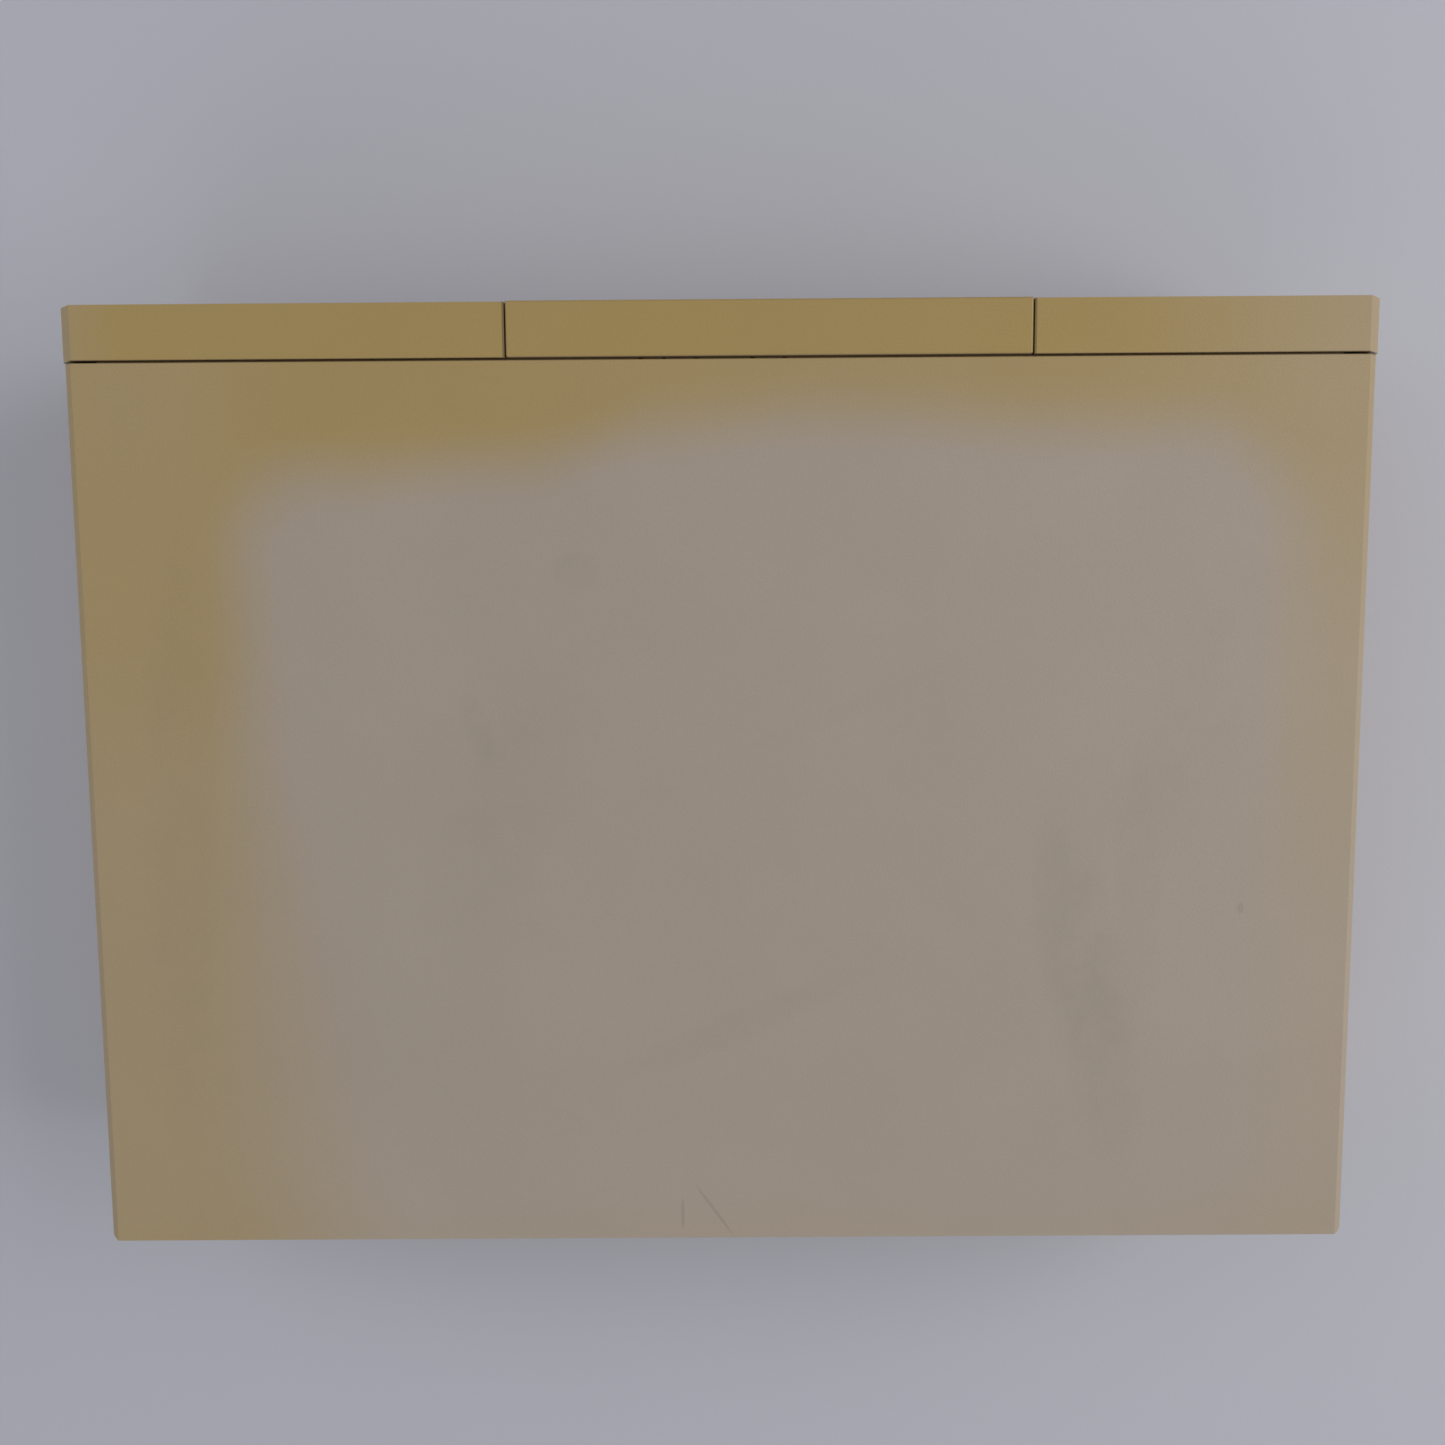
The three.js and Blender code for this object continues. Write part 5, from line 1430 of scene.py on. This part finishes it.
@dataclass
class DiskDrive(SubAssembly):
    """The 3.5-inch disk drive.

    Attributes:
        front: Depth position of the faceplate's front. It is not used.
        lead: Travel of the heads for one turn of the screw.
    """

    front: float = -160.05
    lead: float = 6.0

    def screw_thread(self) -> None:
        """Lead screw: radius dips along a helix, r = R - d * (1 - cos(a + 2 pi y / pitch)) / 2."""
        box = Box.of("lead_screw")
        radius, length = box.size[0] / 2, box.size[1]
        starts = 3
        a = np.linspace(0, 2 * np.pi, 28, endpoint=False)[:, None]
        h = np.linspace(0.6, length - 0.6, 260)[None]
        wave = (1 - np.cos(starts * (a - 2 * np.pi * h / self.lead))) / 2
        r = radius - 0.32 * wave**2
        body = np.stack([r * np.cos(a), r * np.sin(a), h + 0 * a], -1)
        thin = radius * 0.8
        rings = ((0, 0), (thin, 0), (thin, length), (0, length))
        tips = [np.stack([k * np.cos(a), k * np.sin(a), z + 0 * a], -1) for k, z in rings]
        points = np.concatenate([tips[0], tips[1], body, tips[2], tips[3]], 1)
        x, z = box.middle[0], box.middle[2]
        screw = grid(points, wrap_u=True).along("y").moved((x, box.low[1], z))
        self.put("lead_screw_thread", screw, "bright_steel", "screw", ["lead_screw"])

    def spindle(self) -> None:
        """Motor rotor with a stepped hub and a drive pin."""
        box = Box.of("spindle_rotor")
        x, y, z = box.middle[0], box.middle[1], box.low[2]
        r, top = box.size[0] / 2, box.size[2]
        profile = [(0, 0), (r - 0.6, 0), (r, 0.5), (r, 2.8), (r - 0.6, 3.4), (r - 4, 3.4), (r - 4.4, 3.0), (15, 3.0),
                   (13.2, 3.4), (13.0, top - 4.5), (12.6, top - 1.0), (12.0, top - 0.5), (4.4, top - 0.5),
                   (4.0, top - 0.9), (2.4, top - 0.9), (2.0, top - 0.1), (0, top)]
        pin = lathe([(0, 0), (0.9, 0), (0.9, 1.5), (0.5, 1.9), (0, 2.0)], (8.2, 0, top - 2.2), 14)
        hub = joined([lathe(profile, sides=72), pin]).moved((x, y, z))
        self.put("spindle_hub", hub, "bright_steel", "spindle", ["spindle_rotor"])

    def carriage(self) -> None:
        """Head carriage, its two head pads, a leaf spring and the follower."""
        self.soften("head_carriage", "dark_plastic", 0.5, 2, "heads")
        box = Box.of("head_carriage")
        x, y = Box.of("spindle_rotor").middle[0], box.low[1] + 5
        slot_low, slot_high = 55.5 + 17.5, 55.5 + 22.5
        pad = block((-2.2, -2.6, -0.35), (2.2, 2.6, 0.35), 0.3, 2)
        pads = pad.repeated([(x, y, slot_low - 0.55), (x, y, slot_high + 0.55)])
        self.put("head_pads", pads, "bright_steel", "heads")
        bow = [(x, y + 2, slot_high + 3.8), (x, y + 12, slot_high + 4.3), (x, y + 24, slot_high + 3.7)]
        leaf = sweep(smooth_path(bow, 14),
                     np.array([(-4, -0.12), (4, -0.12), (4, 0.12), (-4, 0.12)]), (1, 0, 0))
        self.put("head_leaf_spring", leaf, "bright_steel", "heads")

    def electronics(self) -> None:
        """The drive's board, and the stepper motor's can."""
        self.dress("circuit_board", "drive_board")
        motor = Box.of("stepper_motor")
        x, z = motor.middle[0], motor.middle[2]
        r, length = motor.size[0] / 2, motor.size[1]
        shell = [(0, 0), (2.4, 0), (2.4, -0.0), (r - 1.2, 0.0), (r - 0.3, 0.3), (r, 1.0), (r, length / 2 - 0.4),
                 (r - 0.35, length / 2), (r, length / 2 + 0.4), (r, length - 1.0), (r - 0.4, length - 0.3),
                 (r - 1.2, length), (0, length)]
        can = lathe(shell, sides=48).along("y").moved((x, motor.low[1], z))
        self.put("stepper_motor_can", can, "zinc_sheet", stands_for=["stepper_motor"])

    def front_details(self) -> None:
        """Faceplate with moulded lines, key, lamp and flap."""
        self.soften("drive_faceplate", "front_plastic", 0.45, 3)
        self.soften("eject_button", "front_plastic", 0.5, 3, "eject_key")
        self.soften("drive_light", "green_lens", 0.3)
        self.soften("disk_flap", "dark_plastic", 0.25, 2, "flap")

    def chassis(self) -> None:
        """Cast chassis, lid, bracket and their screws."""
        self.soften("drive_chassis", "cast_alloy", 0.35)
        self.soften("drive_top_plate", "rolled_steel", 0.25)
        self.soften("drive_bracket", "zinc_sheet", 0.3)
        plate = Box.of("drive_top_plate")
        head = screw_head(2.3, 1.1)
        across = (plate.low[0] + 6, plate.high[0] - 6)
        along = (plate.low[1] + 8, plate.high[1] - 8)
        corners = [(x, y, plate.high[2]) for x in across for y in along]
        self.put("drive_lid_screws", head.repeated(corners), "bright_steel")
        side = head.turned(180.0, "x").along("x")
        box = Box.of("drive_chassis")
        left = side.repeated([(box.low[0], y, box.low[2] + 8) for y in (box.low[1] + 40, box.low[1] + 100)])
        self.put("drive_side_screws", left, "bright_steel")

    def build(self) -> None:
        """Builds the drive."""
        self.front_details()
        self.chassis()
        self.spindle()
        self.screw_thread()
        self.carriage()
        self.electronics()


@dataclass
class Wiring(SubAssembly):
    """The drive's ribbon cable and the supply's harness.

    Attributes:
        wires: Conductors in the ribbon.
    """

    wires: int = 34

    def ribbon(self) -> None:
        """Flat cable: a row of joined circles as the profile, carried along the CAD cable's path."""
        box = Box.of("drive_ribbon")
        x0, x1 = box.low[0] + 2, box.high[0] - 2
        back, drive_z, board = box.low[1] - 0.3, 64.5, 40.8
        header = back + 34
        knots = [
            (back + 3, drive_z),
            (back + 16, drive_z + 3),
            (back + 28, drive_z - 2),
            (header, board + 14),
            (header, board + 8),
        ]
        middle = (x0 + x1) / 2
        path = smooth_path([(middle, y, z) for y, z in knots], 40)
        half = (x1 - x0) / 2
        s = np.linspace(-1, 1, self.wires * 4 + 1)
        t = 0.3 + 0.24 * np.abs(np.sin(np.pi * (s + 1) * self.wires / 2))
        over = np.stack([s * half, t], -1)
        profile = np.concatenate([over * (1, -1), over[::-1]])
        self.palette.add(RibbonSkin("ribbon_skin", (x1 - half / self.wires * 2) * MM))
        self.put("ribbon_cable", sweep(path, profile, (1, 0, 0)), "ribbon_skin", stands_for=["drive_ribbon"])
        lips = [
            block((x0 - 2, back + 0.3, drive_z - 4), (x1 + 2, back + 9, drive_z - 0.9), 0.5, 2),
            block((x0 - 2, back + 0.3, drive_z + 1.1), (x1 + 2, back + 9, drive_z + 4), 0.5, 2),
            block((x0 - 2, back + 0.3, drive_z - 3), (x0 - 0.2, back + 9, drive_z + 3), 0.5, 2),
            block((x1 + 0.2, back + 0.3, drive_z - 3), (x1 + 2, back + 9, drive_z + 3), 0.5, 2),
            block((x0 - 2, header - 4, board), (x1 + 2, header + 4, board + 9), 0.6, 2),
        ]
        self.put("ribbon_plugs", joined(lips), "dark_plastic")

    def harness(self) -> None:
        """Five insulated wires side by side, twisting slowly, from the supply to their plug."""
        box = Box.of("power_harness")
        start = box.low[0]
        y, z = box.middle[1], box.low[2]
        run = ((0, 22), (8, 22), (18, 18), (22, 10), (22, 5))
        knots = np.array([(start + ahead, y, z + up) for ahead, up in run])
        plug = block((start + 16, y - 14, z), (start + 28, y + 14, z + 7.6), 0.7, 2)
        self.put("harness_plug", plug, "white_nylon", stands_for=["power_harness"])
        grommet = lathe([(2.0, 1.6), (3.4, 1.6), (4.0, 1.2), (4.0, 0), (2.0, 0), (2.0, 1.6)], sides=28).along("x")
        self.put("harness_grommet", grommet.moved((start - 0.25, y, z + 22)), "black_rubber")
        share = np.linspace(0, 1, 40)[:, None]
        base = smooth_path(knots, 40)
        finishes = ("red_wire", "black_wire", "white_wire", "blue_wire", "black_wire")
        for i, finish in enumerate(finishes):
            angle = 2 * np.pi * i / 5 + 2.2 * share
            tight = np.concatenate([np.zeros_like(share), np.cos(angle), np.sin(angle)], 1) * 1.35
            wide = np.array([0.0, (i - 2) * 4.6, 0.0])
            spread = np.clip((share - 0.55) / 0.45, 0, 1) ** 1.5
            path = base + tight * (1 - spread) + wide * spread
            self.put(f"harness_wire_{i + 1}", sweep(path, circle(0.75, 10), (0, 1, 0.001)), finish)

    def build(self) -> None:
        """Builds both cables."""
        self.ribbon()
        self.harness()


# ---------------------------------------------------------------------------------------------
# Stage
# ---------------------------------------------------------------------------------------------


@dataclass
class Studio:
    """Camera, floor and lights.

    Attributes:
        eye: Where the camera is, in metres.
        pitch: Degrees it leans back from looking straight down.
        roll: Degrees it is turned about its view.
        yaw: Degrees it is turned sideways.
        lens: Focal length for a 36 mm sensor.
    """

    eye: tuple[float, float, float] = (-0.0018, -0.0773, 0.6071)
    pitch: float = 6.33
    roll: float = -0.38
    yaw: float = -0.19
    lens: float = 36.0

    def camera(self) -> None:
        """Looks down at the cover with the front bezel at the top of the view."""
        p, q, w = (math.radians(a) for a in (self.pitch, self.roll, self.yaw))
        down, forward, right = np.array([0, 0, -1.0]), np.array([0, -1.0, 0]), np.array([-1.0, 0, 0])
        ahead = math.cos(p) * down - math.sin(p) * forward
        up = math.cos(p) * forward + math.sin(p) * down
        look = math.cos(w) * ahead + math.sin(w) * right
        side = math.cos(w) * right - math.sin(w) * ahead
        across = math.cos(q) * side + math.sin(q) * up
        over = math.cos(q) * up - math.sin(q) * side
        data = bpy.data.cameras.new("camera")
        data.lens, data.sensor_width, data.clip_start = self.lens, 36.0, 0.01
        camera = bpy.data.objects.new("camera", data)
        columns = np.stack([across, over, -look], 1)
        camera.matrix_world = Matrix.Translation(self.eye) @ Matrix(columns.tolist()).to_4x4()
        bpy.context.scene.collection.objects.link(camera)
        bpy.context.scene.camera = camera

    def floor(self) -> None:
        """A wide pale floor."""
        g = Graph("floor_paper")
        tone = g.mix(g.noise(3.0, 2.0), (0.68, 0.69, 0.775), (0.72, 0.73, 0.815))
        material = g.finish(tone, 0.8, g.bump(g.noise(400.0, 2.0), 0.00005))
        mesh = bpy.data.meshes.new("floor")
        w = 4.0
        mesh.from_pydata([(-w, -w, 0), (w, -w, 0), (w, w, 0), (-w, w, 0)], [], [(0, 1, 2, 3)])
        mesh.materials.append(material)
        floor = bpy.data.objects.new("floor", mesh)
        bpy.context.scene.collection.objects.link(floor)

    def lamp(self, name: str, spot: Vec, size: float, power: float, colour: Vec) -> None:
        """A soft square lamp aimed at the computer.

        Args:
            name: Object name.
            spot: Its place, in metres.
            size: Side of the square, in metres.
            power: Power in watts.
            colour: Its colour.
        """
        data = bpy.data.lights.new(name, "AREA")
        data.shape, data.size, data.energy, data.color = "SQUARE", size, power, colour
        lamp = bpy.data.objects.new(name, data)
        lamp.location = spot
        lamp.rotation_mode = "QUATERNION"
        lamp.rotation_quaternion = (Vector((0, 0, 0.05)) - Vector(spot)).to_track_quat("-Z", "Y")
        bpy.context.scene.collection.objects.link(lamp)

    def lights(self) -> None:
        """Even daylight with a stronger window on the left."""
        world = bpy.data.worlds.new("world")
        bpy.context.scene.world = world
        world.use_nodes = True
        background = world.node_tree.nodes["Background"]
        background.inputs["Color"].default_value = (0.93, 0.95, 1.0, 1.0)
        background.inputs["Strength"].default_value = 0.2
        self.lamp("window", (-1.3, -0.2, 1.0), 1.5, 12.6, (1.0, 0.98, 0.95))
        self.lamp("fill", (0.9, -0.7, 1.3), 1.5, 3.5, (0.95, 0.97, 1.0))
        self.lamp("low", (1.15, -0.25, 0.55), 0.9, 1.2, (1.0, 0.99, 0.97))
        self.lamp("back", (0.3, 1.3, 1.0), 1.4, 3.2, (1.0, 0.99, 0.97))

    def build(self) -> None:
        """Sets the stage."""
        self.camera()
        self.floor()
        self.lights()
        bpy.context.scene.view_settings.view_transform = "Standard"


def main() -> None:
    """Builds the stage and every sub-assembly, and reports each piece."""
    logging.basicConfig(level=logging.INFO, format="%(name)s: %(message)s")
    Studio().build()
    palette = Palette()
    parts: tuple[type[SubAssembly], ...] = (
        Casing, MainBoard, MemoryCartridge, PowerSupply, CoolingFan, RearPorts, PowerSwitch, DiskDrive, Wiring,
    )
    for kind in parts:
        part = kind(palette)
        part.build()
        for name in part.made:
            LOG.info("%s: %s", kind.__name__, name)


if __name__ == "__main__":
    main()
